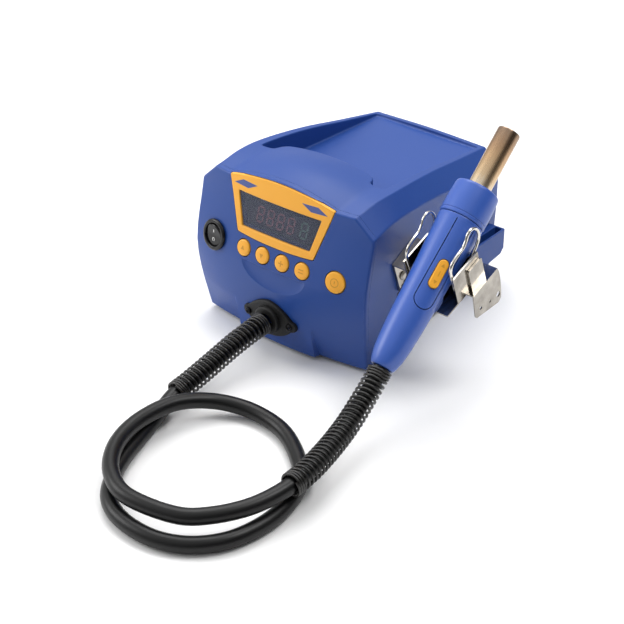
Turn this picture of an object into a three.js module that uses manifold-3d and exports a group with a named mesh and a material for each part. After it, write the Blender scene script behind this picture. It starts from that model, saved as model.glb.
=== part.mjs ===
// Hot air rework station: a bench unit with a blower, a hose, and a handpiece resting in a sheet metal cradle.
// Millimetres, +Z up. While it is built, x = 0 is the unit's centre line, the front looks along -Y and the
// bench top is z = 0. The last lines move the whole group so that the origin is the footprint's centre.
import * as THREE from 'three';
import { mergeVertices } from 'three/addons/utils/BufferGeometryUtils.js';
import Module from 'manifold-3d';

const wasm = await Module();
wasm.setup();

// ---- driving dimensions ----
const gap = 0.3; // clearance between pieces that seat against each other
const wall = 2.5; // housing wall
const fasciaWall = 4; // front panel
const panelWall = 2.4; // rear panel and base pan
const footHeight = 4;
const frontHalfWidth = 80; // half-width over the side walls at the front edge
const rearHalfWidth = 66;
const frontEdgeY = -93; // where the side walls meet the front panel
const rearY = 85;
const bottomTuck = 4; // how much narrower the side walls are at the bottom edge
const chamferHeight = 14.2; // height of the long facet between the side wall and the top rim
const domeRise = 7; // how far the front top edge arches above its shoulders
const domeHalfWidth = 49;
const trayFloorZ = 103.8; // above the housing's bottom edge
const trayTongueHalfWidth = 44;
const trayLip = 5; // floor strip left at the back of the tray
const smallKeyRadius = 6.25;
const startKeyRadius = 8;
const keyTravel = 1.2;
const keyProud = 1.4;
const keyStem = 10; // from the panel's face to the end of a key's stem
const switchRadius = 12;
const rockerSwing = 16; // degrees between off and on
const hoseDiameter = 11.5;
const guardDiameter = 17.6;
const guardStationLength = 93;
const guardHandLength = 120;
const pipeRadius = 8.5;
const pipeWall = 0.8;
const pipeReach = 47; // length of heater pipe in front of the collar
const collarRadius = 17;
const collarLength = 25.6;
const gripLength = 116.5;
const gripWall = 2.2;
const handTilt = 40.8; // degrees above the bench
const handTurn = 45; // degrees that the handpiece is rolled in its cradle
const handX = 122.5;
const tailY = -139;
const tailZ = 48.5;
const sheet = 1.2; // holder sheet metal
const holderTilt = 20;
const holderY = -60;
const holderZ = 84;
const cradleHalfWidth = 20.5;
const cradleWallHeight = 26.5;
const cradleFloorTop = 3.5;
const wireDiameter = 2.4;
const bracketHoles = [-4, 12]; // along the cradle

const rad = THREE.MathUtils.degToRad;

// ---- materials ----
const finish = (colour, roughness, metalness) =>
  new THREE.MeshStandardMaterial({ color: new THREE.Color(colour), roughness, metalness });
const blue = () => finish('#3c55a5', 0.45, 0);
const yellow = () => finish('#f0b23c', 0.5, 0);
const black = () => finish('#18181a', 0.55, 0);
const rubber = () => finish('#141414', 0.8, 0);
const smoked = () => finish('#3a4150', 0.15, 0);
const steel = () => finish('#c4c2bd', 0.3, 1);
const hotSteel = () => finish('#b9a184', 0.28, 1);
const green = () => finish('#1f6b45', 0.5, 0);
const copper = () => finish('#a8643a', 0.4, 0.8);
const ceramic = () => finish('#e6ddcc', 0.7, 0);
const dark = () => finish('#2b2b30', 0.6, 0.1);

// ---- geometry helpers ----
// A closed geometry as a solid, with its faces pointing out whichever way its outline ran.
function solidOf(geometry) {
  const bare = geometry.clone();
  bare.deleteAttribute('normal');
  bare.deleteAttribute('uv');
  const merged = mergeVertices(bare, 1e-4);
  const vertProperties = Float32Array.from(merged.attributes.position.array);
  const triangles = [...merged.index.array];
  const wound = (order) => new wasm.Manifold(new wasm.Mesh({
    numProp: 3,
    vertProperties,
    triVerts: Uint32Array.from(order),
  }));
  const solid = wound(triangles);
  return solid.volume() > 0 ? solid : wound(triangles.reverse());
}

function geometryOf(manifold) {
  const mesh = manifold.getMesh();
  const geometry = new THREE.BufferGeometry();
  geometry.setAttribute('position', new THREE.BufferAttribute(mesh.vertProperties, 3));
  geometry.setIndex(new THREE.BufferAttribute(mesh.triVerts, 1));
  return geometry;
}

const join = (first, ...others) => others.reduce((sum, other) => sum.add(other), first);
const cut = (first, ...others) => others.reduce((left, other) => left.subtract(other), first);
const common = (first, ...others) => others.reduce((left, other) => left.intersect(other), first);

function block(x0, x1, y0, y1, z0, z1) {
  const box = new THREE.BoxGeometry(x1 - x0, y1 - y0, z1 - z0);
  return solidOf(box.translate((x0 + x1) / 2, (y0 + y1) / 2, (z0 + z1) / 2));
}

// A round bar along +Z from z0 to z1.
function rod(radius, z0, z1, sides = 32) {
  const bar = new THREE.CylinderGeometry(radius, radius, z1 - z0, sides);
  return solidOf(bar.rotateX(Math.PI / 2).translate(0, 0, (z0 + z1) / 2));
}

// A body of revolution about Z. The profile is a list of [radius, height], closed on itself or on the axis.
function turned(profile, sides = 28) {
  const last = profile[profile.length - 1];
  const onAxis = profile[0][0] === 0 && last[0] === 0;
  const outline = onAxis ? profile : [...profile, profile[0]];
  const lathe = new THREE.LatheGeometry(outline.map(([r, z]) => new THREE.Vector2(r, z)), sides);
  return solidOf(lathe.rotateX(Math.PI / 2));
}

// Extrudes a THREE.Shape along one axis between two stations. For 'x' the shape holds (y, z), for 'y' (x, z).
function prism(shape, axis, from, to, curveSegments = 6) {
  const slab = new THREE.ExtrudeGeometry(shape, { depth: to - from, bevelEnabled: false, curveSegments });
  if (axis === 'z') return solidOf(slab.translate(0, 0, from));
  if (axis === 'y') return solidOf(slab.rotateX(Math.PI / 2).translate(0, to, 0));
  const basis = new THREE.Matrix4().makeBasis(
    new THREE.Vector3(0, 1, 0), new THREE.Vector3(0, 0, 1), new THREE.Vector3(1, 0, 0));
  return solidOf(slab.applyMatrix4(basis).translate(from, 0, 0));
}

const polygon = (points) => new THREE.Shape(points.map(([a, b]) => new THREE.Vector2(a, b)));

function roundedRect(x0, x1, y0, y1, r) {
  const shape = new THREE.Shape();
  shape.moveTo(x0 + r, y0);
  shape.lineTo(x1 - r, y0);
  shape.absarc(x1 - r, y0 + r, r, -Math.PI / 2, 0);
  shape.lineTo(x1, y1 - r);
  shape.absarc(x1 - r, y1 - r, r, 0, Math.PI / 2);
  shape.lineTo(x0 + r, y1);
  shape.absarc(x0 + r, y1 - r, r, Math.PI / 2, Math.PI);
  shape.lineTo(x0, y0 + r);
  shape.absarc(x0 + r, y0 + r, r, Math.PI, 1.5 * Math.PI);
  return shape;
}

const moved = (manifold, x, y, z) => manifold.translate([x, y, z]);
const turnedBy = (manifold, x, y, z) => manifold.rotate([x, y, z]);

// Smooth value at t through a short list of [t, value] points.
function along(points, t) {
  const last = points.length - 1;
  if (t <= points[0][0]) return points[0][1];
  if (t >= points[last][0]) return points[last][1];
  const i = points.findIndex((point) => point[0] > t) - 1;
  const slope = (a, b) => (points[b][1] - points[a][1]) / (points[b][0] - points[a][0]);
  const span = points[i + 1][0] - points[i][0];
  const m0 = i === 0 ? slope(0, 1) : slope(i - 1, i + 1);
  const m1 = i + 1 === last ? slope(i, i + 1) : slope(i, i + 2);
  const s = (t - points[i][0]) / span;
  const rise = points[i + 1][1] - points[i][1];
  const c2 = 3 * rise - span * (2 * m0 + m1);
  const c3 = span * (m0 + m1) - 2 * rise;
  return points[i][1] + span * m0 * s + c2 * s * s + c3 * s * s * s;
}

const ease = (t) => THREE.MathUtils.smoothstep(t, 0, 1);

// Closed skin through loops of points, clockwise seen from the front, that follow each other along +Y.
function loft(loops) {
  const count = loops[0].length;
  const positions = loops.flat().flatMap((p) => [p.x, p.y, p.z]);
  const index = [];
  for (let i = 0; i + 1 < loops.length; i++) {
    for (let j = 0; j < count; j++) {
      const a = i * count + j;
      const b = i * count + ((j + 1) % count);
      index.push(a, b, b + count, a, b + count, a + count);
    }
  }
  const ends = [[0, true], [loops.length - 1, false]];
  for (const [row, first] of ends) {
    const middle = loops[row].reduce((sum, p) => sum.clone().add(p)).divideScalar(count);
    const hub = positions.length / 3;
    positions.push(middle.x, middle.y, middle.z);
    for (let j = 0; j < count; j++) {
      const a = row * count + j;
      const b = row * count + ((j + 1) % count);
      index.push(hub, first ? b : a, first ? a : b);
    }
  }
  const skin = new THREE.BufferGeometry();
  skin.setAttribute('position', new THREE.Float32BufferAttribute(positions, 3));
  skin.setIndex(index);
  return solidOf(skin);
}

// ---- housing surfaces ----
const sideHalfWidth = (y) =>
  THREE.MathUtils.lerp(frontHalfWidth, rearHalfWidth, (y - frontEdgeY) / (rearY - frontEdgeY));
const rimInset = (y) => along([[-118, 14.6], [frontEdgeY, 15], [-45, 11], [rearY, 14]], y);
const rimZ = (y) => along([[-118, 120], [frontEdgeY, 122], [-70, 125], [-40, 124], [0, 119.5], [40, 112.5],
  [rearY, 105]], y);

function topZ(x, y) {
  const rise = along([[-118, domeRise + 0.5], [frontEdgeY, domeRise], [-62, 5.5], [-40, 2.5], [-20, 0]], y);
  const across = Math.min(1, Math.abs(x) / domeHalfWidth);
  return rimZ(y) + 1.2 * (1 - ease(Math.abs(x) / 65)) + rise * (1 - across * across);
}

// One loop of the housing's section at y, moved inwards by inset; low is the height of its open bottom.
function housingLoop(y, inset, low) {
  const corner = inset * Math.tan(rad(22.5));
  const side = sideHalfWidth(y);
  const rimX = side - rimInset(y) - corner;
  const right = [0, 0.16, 0.32, 0.48, 0.62, 0.74, 1].map((share) => {
    const x = share * rimX;
    return [x, topZ(x, y) - inset];
  });
  right.push([side - inset, rimZ(y) - chamferHeight - corner]);
  right.push([side - inset, 57]);
  right.push([side - inset - bottomTuck * (57 - low) / 57, low]);
  const left = right.slice(1).reverse().map(([x, z]) => [-x, z]);
  return [...right, ...left].map(([x, z]) => new THREE.Vector3(x, y, z));
}

function housingLoft(inset, low, from, to) {
  const inner = [-104, frontEdgeY, -80, -66, -52, -40, -22, 0, 28, 56];
  const stations = [from, ...inner.filter((y) => y > from + 2 && y < to - 2), to];
  return loft(stations.map((y) => housingLoop(y, inset, low)));
}

// Depth of the front panel's outer face. It bulges in plan and in profile, and the middle block stands
// proud of the two swept-back cheeks below the ridges.
const ridgeX = 36;
const ridgeTopZ = 27;
function frontY(x, z) {
  const middle = along([[-6, -106], [0, -107], [25, -111.4], [60, -112], [80, -107.6], [131, -98],
    [150, -94]], z);
  const edge = along([[-6, -92], [0, -93.5], [57, -103.3], [108, -94], [122, -93], [150, -91]], z);
  const across = Math.min(1.1, Math.abs(x) / frontHalfWidth);
  const depth = Math.max(0, 1 - Math.max(z, 0) / ridgeTopZ);
  const swept = Math.abs(x) > ridgeX ? 6 * depth : 0;
  return middle + swept + (edge - middle - swept) * across ** 2.5;
}

// Everything behind the front face moved back by offset.
function behindFront(offset) {
  const outer = [1, 0.85, 0.71, 0.58].map((share) => share * frontHalfWidth);
  const half = [frontHalfWidth + 10, ...outer, ridgeX + 1.2, ridgeX, 24, 12];
  const columns = [...half.map((x) => -x), 0, ...half.reverse()];
  const rows = [-6, 0, 9, 18, ridgeTopZ, 40, 56, 70, 84, 100, 116, 132, 150];
  const count = columns.length;
  const positions = [];
  const index = [];
  const backY = 200;
  for (const z of rows) for (const x of columns) positions.push(x, frontY(x, z) + offset, z);
  for (const z of rows) for (const x of columns) positions.push(x, backY, z);
  const back = count * rows.length;
  for (let j = 0; j + 1 < rows.length; j++) {
    for (let i = 0; i + 1 < count; i++) {
      const a = j * count + i;
      const [b, c, d] = [a + 1, a + 1 + count, a + count];
      index.push(a, b, c, a, c, d, back + a, back + c, back + b, back + a, back + d, back + c);
    }
  }
  const edge = [];
  for (let i = 0; i + 1 < count; i++) edge.push([i + 1, i]);
  for (let j = 0; j + 1 < rows.length; j++) edge.push([j * count, (j + 1) * count]);
  const top = (rows.length - 1) * count;
  for (let i = 0; i + 1 < count; i++) edge.push([top + i, top + i + 1]);
  for (let j = 0; j + 1 < rows.length; j++) edge.push([(j + 2) * count - 1, (j + 1) * count - 1]);
  for (const [a, b] of edge) index.push(a, b, back + b, a, back + b, back + a);
  const skin = new THREE.BufferGeometry();
  skin.setAttribute('position', new THREE.Float32BufferAttribute(positions, 3));
  skin.setIndex(index);
  return solidOf(skin);
}

// Outward normal of the front face.
function frontNormal(x, z) {
  const step = 2;
  const dx = (frontY(x + step, z) - frontY(x - step, z)) / (2 * step);
  const dz = (frontY(x, z + step) - frontY(x, z - step)) / (2 * step);
  return new THREE.Vector3(dx, -1, dz).normalize();
}

const trayHalfWidth = (y) => sideHalfWidth(y) - rimInset(y) - along([[-60, 8], [0, 6], [rearY, 3.5]], y);

// Plan outline of the tray recess; grow moves it outwards.
function trayOutline(grow) {
  const tongueY = -42 - grow;
  const shoulderY = -53 - grow;
  const backY = rearY - trayLip + grow;
  const stations = [-50, -20, 10, 45, backY];
  const shape = new THREE.Shape();
  const tongue = trayTongueHalfWidth - grow;
  shape.moveTo(-tongue, shoulderY + 3);
  shape.bezierCurveTo(-tongue + 2, tongueY - 1, -tongue + 6, tongueY, -tongue + 14, tongueY + 1);
  shape.bezierCurveTo(-14, tongueY + 3, 14, tongueY + 3, tongue - 14, tongueY + 1);
  shape.bezierCurveTo(tongue - 6, tongueY, tongue - 2, tongueY - 1, tongue, shoulderY + 3);
  shape.lineTo(tongue + 2, shoulderY);
  shape.lineTo(trayHalfWidth(-50) + grow, shoulderY);
  for (const y of stations) shape.lineTo(trayHalfWidth(y) + grow, y);
  for (const y of stations.reverse()) shape.lineTo(-trayHalfWidth(y) - grow, y);
  shape.lineTo(-trayHalfWidth(-50) - grow, shoulderY);
  shape.lineTo(-tongue - 2, shoulderY);
  return shape;
}

// Tools that cut right through the front panel run between these stations.
const ahead = -130;
const behind = -60;

// ---- scene graph ----
const root = new THREE.Group();
const body = new THREE.Group();
body.position.z = footHeight;
root.add(body);

function add(parent, name, shape, material) {
  const geometry = shape instanceof wasm.Manifold ? geometryOf(shape) : shape;
  const mesh = new THREE.Mesh(geometry, material);
  mesh.name = name;
  parent.add(mesh);
  return mesh;
}

// A group whose +Z is the given direction and whose +X stays level.
function aimed(parent, position, direction) {
  const z = direction.clone().normalize();
  const x = new THREE.Vector3(-z.y, z.x, 0).normalize();
  const y = new THREE.Vector3().crossVectors(z, x);
  const group = new THREE.Group();
  group.position.copy(position);
  group.quaternion.setFromRotationMatrix(new THREE.Matrix4().makeBasis(x, y, z));
  parent.add(group);
  return group;
}

// The same placing for a cutting solid.
function aimedSolid(manifold, position, direction) {
  const group = aimed(new THREE.Group(), position, direction);
  group.updateMatrix();
  return manifold.transform(group.matrix.elements);
}

// ---- front panel, its keys and switch ----
const keyRow = { z: 71.8, xs: [-27.5, -9.2, 9.2, 27.5] };
const startKey = { x: frontHalfWidth - 24, z: 71.8 };
const powerSwitch = { x: 21.7 - frontHalfWidth, z: 71 };
const gland = {
  y: -112, z: 23.5, halfWidth: 25, halfHeight: 15.5, plate: 3, boss: 11, bossLength: 6.4, screwX: 19.5,
};
const onFront = (x, z) => new THREE.Vector3(x, frontY(x, z), z);
const keyClearance = 0.5;
const switchBarrelRadius = switchRadius - 1.6 - gap;
const screwHole = 1.6;
// A drill along Y through the front panel.
const alongY = (radius, x, z, sides) =>
  turnedBy(rod(radius, -20, 20, sides), 90, 0, 0).translate([x, gland.y, z]);

// Outline of the yellow bezel: a fan with arched top and bottom edges.
function bezelOutline(inset) {
  const top = { x: 48.5 - inset * 1.1, z: 122 - inset, rise: 6.2 };
  const low = { x: 35.5 - inset * 0.8, z: 82.3 + inset, rise: -1.6 };
  const shape = new THREE.Shape();
  shape.moveTo(-low.x, low.z);
  shape.quadraticCurveTo(0, low.z + 2 * low.rise, low.x, low.z);
  shape.lineTo(top.x, top.z);
  shape.quadraticCurveTo(0, top.z + 2 * top.rise, -top.x, top.z);
  return shape;
}

// Outline of the display window, straight-sided.
function windowOutline(inset) {
  return polygon([
    [-31.5 + inset, 87.5 + inset], [31.5 - inset, 87.5 + inset],
    [38.5 - inset, 112.5 - inset], [-38.5 + inset, 112.5 - inset],
  ]);
}

const frontSlab = (from, to) => cut(behindFront(from), behindFront(to));
const housingOuter = housingLoft(0, 0, -118, rearY);

function frontFascia() {
  let panel = common(housingOuter, frontSlab(0, fasciaWall));
  const bezelDepth = 2;
  const pocket = common(prism(bezelOutline(-gap), 'y', ahead, behind), frontSlab(-5, bezelDepth));
  panel = cut(panel, pocket, prism(windowOutline(1.5), 'y', ahead, behind));
  const scoop = new THREE.Shape();
  scoop.moveTo(-30, 64);
  scoop.absellipse(1.5, 64, 30, 17.5, Math.PI, 2 * Math.PI, false);
  panel = cut(panel, common(prism(scoop, 'y', ahead, behind), frontSlab(-5, 1)));
  const drill = (radius, x, z, sides) => {
    panel = cut(panel, aimedSolid(rod(radius, -12, 12, sides), onFront(x, z), frontNormal(x, z)));
  };
  for (const x of keyRow.xs) drill(smallKeyRadius + keyClearance, x, keyRow.z, 24);
  drill(startKeyRadius + keyClearance, startKey.x, startKey.z, 28);
  drill(switchBarrelRadius + gap, powerSwitch.x, powerSwitch.z, 32);
  panel = cut(panel, alongY(hoseDiameter / 2 + 1.5, 0, gland.z, 20));
  for (const side of [-1, 1]) panel = cut(panel, alongY(screwHole, side * gland.screwX, gland.z, 12));
  return panel;
}
add(body, 'front_fascia', frontFascia(), blue());

function bezel() {
  const plate = common(prism(bezelOutline(0), 'y', ahead, behind), frontSlab(-0.4, 1.7));
  return cut(plate, prism(windowOutline(0), 'y', ahead, behind));
}
add(body, 'display_bezel', bezel(), yellow());
const windowPane = common(prism(windowOutline(gap), 'y', ahead, behind), frontSlab(0.3, 1.7));
add(body, 'display_window', windowPane, smoked());

const seatOnFront = ({ x, z }) => aimed(body, onFront(x, z), frontNormal(x, z));

// A round push key: a crowned cap, a collar that stops it behind the panel and a stem.
function pushKey(radius) {
  const crown = 0.6;
  const collar = radius + 1.5;
  const stop = -fasciaWall - keyTravel - gap;
  return turned([
    [0, keyProud], [radius * 0.6, keyProud - crown * 0.3], [radius - 0.5, keyProud - crown],
    [radius, keyProud - 2 * crown], [radius, stop], [collar, stop], [collar, stop - 1.2], [2, stop - 1.2],
    [2, -keyStem], [0, -keyStem],
  ], 18);
}
keyRow.xs.forEach((x, i) => {
  add(seatOnFront({ x, z: keyRow.z }), `key_${i + 1}`, pushKey(smallKeyRadius), yellow());
});
add(seatOnFront(startKey), 'start_key', pushKey(startKeyRadius), yellow());

// Round rocker switch: a flanged barrel that snaps into the panel, and the rocker in it.
const switchSeat = seatOnFront(powerSwitch);
const rockerRadius = 8.4;
function switchBarrel() {
  const bore = rockerRadius + 0.5;
  const barrel = switchBarrelRadius;
  return turned([
    [0, -9], [bore, -9], [bore, 2.4], [switchRadius - 1, 2.4], [switchRadius, 1.6], [switchRadius, 0.6],
    [barrel, 0.6], [barrel, -20], [0, -20],
  ]);
}
function rocker() {
  const pivot = -3;
  const face = polygon([[-9, 3.4], [0, 2.2], [9, 3.4], [9, 0], [3, -3.2], [-3, -3.2], [-9, 0]]);
  const wedge = prism(face, 'x', -9, 9);
  const round = common(wedge, rod(rockerRadius, -8, 8));
  return turnedBy(round, rockerSwing / 2, 0, 0).translate([0, 0, pivot + 2]);
}
add(switchSeat, 'switch_barrel', switchBarrel(), black());
add(switchSeat, 'switch_rocker', rocker(), black());

// ---- hood, base pan and rear panel ----
const pastSides = frontHalfWidth + 10;
const inside = (extra, low) => {
  const cavity = housingLoft(wall + extra, low, -118, rearY + 10);
  const underTray = prism(trayOutline(wall + extra), 'z', trayFloorZ - wall - extra, 200);
  const pastBack = block(-60, 60, rearY - trayLip, rearY + 20, trayFloorZ - wall - extra, 200);
  return cut(cavity, underTray, pastBack);
};

function hood() {
  const recess = prism(trayOutline(0), 'z', trayFloorZ, 200);
  return common(cut(housingOuter, inside(0, -5), recess), behindFront(fasciaWall + gap));
}
add(body, 'hood', hood(), blue());

const sidePocket = { y0: rearY - 47, y1: rearY - 8, reach: 10.3, z0: 25, z1: 46, wall: 1.8 };
const footInset = { frontX: 20, frontY: 15, rearX: 14, rearY: 17 };
const footSpots = [
  ...[-1, 1].map((side) => [side * (frontHalfWidth - footInset.frontX), frontEdgeY + footInset.frontY]),
  ...[-1, 1].map((side) => [side * (rearHalfWidth - footInset.rearX), rearY - footInset.rearY]),
];
const footHoleRadius = 2.5;
function basePan() {
  const layer = block(-pastSides, pastSides, ahead, rearY - 0.5, 0, panelWall);
  let pan = common(inside(gap, -5), layer, behindFront(fasciaWall + gap));
  for (const [x, y] of footSpots) pan = cut(pan, moved(rod(footHoleRadius, -5, 10, 24), x, y, 0));
  const slots = { count: 9, x: -24, pitch: 6, width: 2.6, y0: 26, y1: 62 };
  for (let i = 0; i < slots.count; i++) {
    const x = slots.x + i * slots.pitch;
    pan = cut(pan, block(x, x + slots.width, slots.y0, slots.y1, -5, 10));
  }
  return pan;
}
add(body, 'base_pan', basePan(), dark());

const inlet = { x: rearHalfWidth - 32, z: 30, halfWidth: 24, halfHeight: 14, lip: 2, depth: 20 };
const fuse = { x: inlet.x - inlet.halfWidth - 16, z: 30, radius: 7.5 };
const vents = { count: 8, left: 16 - rearHalfWidth, right: fuse.x - 16, z: 28, pitch: 7, height: 3 };
const rearPanelY = rearY - 0.8;
function rearPanel() {
  const from = rearPanelY - panelWall;
  let panel = common(inside(gap, -5), block(-pastSides, pastSides, from, rearPanelY, panelWall + gap, 200));
  const { x, z, halfWidth, halfHeight, lip } = inlet;
  const [w, h] = [halfWidth - lip, halfHeight - lip];
  const hole = roundedRect(x - w, x + w, z - h, z + h, 3);
  panel = cut(panel, prism(hole, 'y', from - 5, rearPanelY + 5));
  panel = cut(panel, turnedBy(rod(fuse.radius - 1.2, -9, 9, 20), 90, 0, 0).translate([fuse.x, from, fuse.z]));
  for (let i = 0; i < vents.count; i++) {
    const low = vents.z + i * vents.pitch;
    const slot = roundedRect(vents.left, vents.right, low, low + vents.height, 1.4);
    panel = cut(panel, prism(slot, 'y', from - 5, rearPanelY + 5, 2));
  }
  return panel;
}
add(body, 'rear_panel', rearPanel(), dark());

function mainsInlet() {
  const { x, z, halfWidth, halfHeight, lip, depth } = inlet;
  const flange = roundedRect(x - halfWidth, x + halfWidth, z - halfHeight, z + halfHeight, 3);
  const [w, h] = [halfWidth - lip - gap, halfHeight - lip - gap];
  const tub = roundedRect(x - w, x + w, z - h, z + h, 3);
  const socket = polygon([
    [x - 12, z - 8], [x + 12, z - 8], [x + 12, z + 4], [x + 8, z + 8], [x - 8, z + 8], [x - 12, z + 4]]);
  const y = rearPanelY + gap;
  const shell = join(prism(flange, 'y', y, y + 2.4), prism(tub, 'y', y - depth, y + 0.5));
  return cut(shell, prism(socket, 'y', y - depth + 3, y + 5));
}
add(body, 'mains_inlet', mainsInlet(), black());
[[-7, -2], [0, 3], [7, -2]].forEach(([dx, dz], i) => {
  const y = rearPanelY + gap - inlet.depth + 3 + gap;
  const pin = block(inlet.x + dx - 1, inlet.x + dx + 1, y, y + 14, inlet.z + dz - 2, inlet.z + dz + 2);
  add(body, `inlet_pin_${i + 1}`, pin, steel());
});

function fuseHolder() {
  const r = fuse.radius;
  const barrel = r - 1.5;
  const cap = turned([[0, 5], [barrel, 5], [r - 0.8, 4.2], [r, 0], [barrel, 0], [barrel, -16], [0, -16]], 24);
  const slot = block(-4, 4, -0.7, 0.7, 3.6, 8);
  return turnedBy(cut(cap, slot), -90, 0, 0).translate([fuse.x, rearPanelY + gap, fuse.z]);
}
add(body, 'fuse_holder', fuseHolder(), black());

// Push-in rubber feet: a disc below the pan, a neck through its hole and a barb above.
footSpots.forEach(([x, y], i) => {
  const r = 8;
  const neck = footHoleRadius - gap;
  const barb = panelWall + gap;
  const foot = turned([
    [0, -footHeight], [r - 1.5, -footHeight], [r, -footHeight + 1], [r - 0.6, -gap], [neck, -gap],
    [neck, barb], [neck + 1.2, barb], [neck - 0.4, barb + 2.6], [0, barb + 2.6],
  ], 14);
  add(body, `foot_${i + 1}`, moved(foot, x, y, 0), rubber());
});

// Open-topped pocket on the right-hand side wall, towards the back.
function pocket() {
  const { y0, y1, reach, z0, z1, wall: skin } = sidePocket;
  const against = sideHalfWidth(y0);
  const profile = polygon([[y0, z0 - 4], [y1 - 4, z0], [y1, z0 + 4], [y1, z1], [y0, z1]]);
  const outer = prism(profile, 'x', rearHalfWidth - 6, against + reach);
  const hollow = block(against + 1.5 * skin, against + reach - skin, y0 + skin, y1 - skin, z0 + 6, z1 + 5);
  return cut(outer, hollow, housingLoft(-gap, -20, -118, rearY + 10));
}
add(body, 'side_pocket', pocket(), blue());

// ---- hose gland ----
function glandFlange() {
  const { halfWidth, halfHeight, plate, boss, bossLength, screwX, y, z } = gland;
  const shape = new THREE.Shape();
  const end = 4.2;
  shape.moveTo(-halfWidth + end, z - end);
  shape.quadraticCurveTo(-halfWidth + 14, z - halfHeight + 1, 0, z - halfHeight);
  shape.quadraticCurveTo(halfWidth - 14, z - halfHeight + 1, halfWidth - end, z - end);
  shape.quadraticCurveTo(halfWidth, z - end, halfWidth, z);
  shape.quadraticCurveTo(halfWidth, z + end, halfWidth - end, z + end);
  shape.quadraticCurveTo(halfWidth - 14, z + halfHeight - 1, 0, z + halfHeight);
  shape.quadraticCurveTo(-halfWidth + 14, z + halfHeight - 1, -halfWidth + end, z + end);
  shape.quadraticCurveTo(-halfWidth, z + end, -halfWidth, z);
  shape.quadraticCurveTo(-halfWidth, z - end, -halfWidth + end, z - end);
  const collar = turnedBy(rod(boss, 0, bossLength, 28), 90, 0, 0).translate([0, y + 0.1, z]);
  const flange = join(common(prism(shape, 'y', ahead, behind, 4), frontSlab(-gap - plate, -gap)),
    cut(collar, behindFront(-gap)));
  return cut(flange, ...[-1, 1].map((side) => alongY(screwHole, side * screwX, z, 12)));
}
add(body, 'hose_gland', glandFlange(), rubber());
[-1, 1].forEach((side, i) => {
  const head = turned([[0, 1.9], [1.6, 1.6], [2.8, 0.2], [2.8, 0], [1.3, 0], [1.3, -10], [0, -10]], 16);
  const y = frontY(gland.screwX, gland.z) - gap - gland.plate - gap - 0.4;
  const screw = turnedBy(head, 90, 0, 0).translate([side * gland.screwX, y, gland.z]);
  add(body, `gland_screw_${i + 1}`, screw, black());
});

// ---- inside the housing ----
const blower = {
  x: 26, y: 12, z0: 26, height: 34, radius: 36, wall: 2, intake: 16, motorRadius: 18,
  spout: { x: -24, y: -16, length: 50, radius: 9, bore: 7 },
};
function blowerCase() {
  const { height, radius, wall: skin, intake, spout } = blower;
  const shell = turned([
    [4, 0], [radius, 0], [radius, height], [intake, height], [intake, height - skin],
    [radius - skin, height - skin], [radius - skin, skin], [4, skin],
  ]);
  const pipe = (r, y, length) => turnedBy(rod(r, 0, length, 24), 90, 0, 0).translate([spout.x, y, height / 2]);
  const outer = cut(pipe(spout.radius, spout.y, spout.length), rod(radius - skin - 0.5, -5, height + 5));
  return cut(join(shell, outer), pipe(spout.bore, 0, spout.length + radius));
}
const blowerSeat = new THREE.Group();
blowerSeat.position.set(blower.x, blower.y, blower.z0);
body.add(blowerSeat);
add(blowerSeat, 'blower_case', blowerCase(), dark());
function impeller() {
  const { height, wall: skin, radius } = blower;
  const low = skin + 2;
  const top = height - skin - 2;
  let wheel = join(rod(radius - 7, low, low + 2), rod(6, low, top - 4, 20), rod(1.5, -14, low + 1, 12));
  for (let i = 0; i < 9; i++) {
    const blade = turnedBy(block(7.5, radius - 7.5, -0.8, 0.8, low + 1, top), 0, 0, 0).rotate([0, 0, 25]);
    wheel = join(wheel, turnedBy(moved(blade, 3, -4, 0), 0, 0, i * 40));
  }
  return wheel;
}
add(blowerSeat, 'blower_impeller', impeller(), black());
const motorTop = -0.6;
const motorShell = cut(rod(blower.motorRadius, -20, motorTop, 32), rod(1.9, -15.5, 5, 12));
add(blowerSeat, 'blower_motor', motorShell, steel());

function airDuct() {
  const { x, y, z0, height, spout } = blower;
  const from = new THREE.Vector3(x + spout.x, y + spout.y - spout.length - gap, z0 + height / 2);
  const to = new THREE.Vector3(0, gland.y + fasciaWall + 4, gland.z);
  const path = new THREE.CatmullRomCurve3([from, new THREE.Vector3(from.x, from.y - 8, from.z),
    new THREE.Vector3(0, to.y + 12, to.z + 2), to]);
  const ring = new THREE.Shape();
  ring.absarc(0, 0, 8, 0, 2 * Math.PI);
  const hole = new THREE.Path();
  hole.absarc(0, 0, 6, 0, 2 * Math.PI, true);
  ring.holes.push(hole);
  return solidOf(new THREE.ExtrudeGeometry(ring, { steps: 9, curveSegments: 5, extrudePath: path }));
}
add(body, 'air_duct', airDuct(), rubber());

// Transformer: a laminated frame beside the blower, with the coil through its window.
const supply = {
  x1: blower.x - blower.radius - 2, width: 40, y0: -34, y1: 6, z0: panelWall + 2, z1: panelWall + 40,
};
function transformerFrame(inset) {
  const { x1, width, y0, y1, z0, z1 } = supply;
  const core = block(x1 - width, x1, y0, y1, z0, z1);
  return cut(core, block(x1 - width + inset, x1 - inset, y0 - 10, y1 + 10, z0 + 7, z1 - 7));
}
function transformerCoil(inset) {
  const { x1, width, y0, y1, z0, z1 } = supply;
  return block(x1 - width + inset, x1 - inset, y0 - 10, y1 + 10, z0 + 8, z1 - 8);
}
add(body, 'transformer_core', transformerFrame(1), steel());
add(body, 'transformer_coil', transformerCoil(2), copper());

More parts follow.
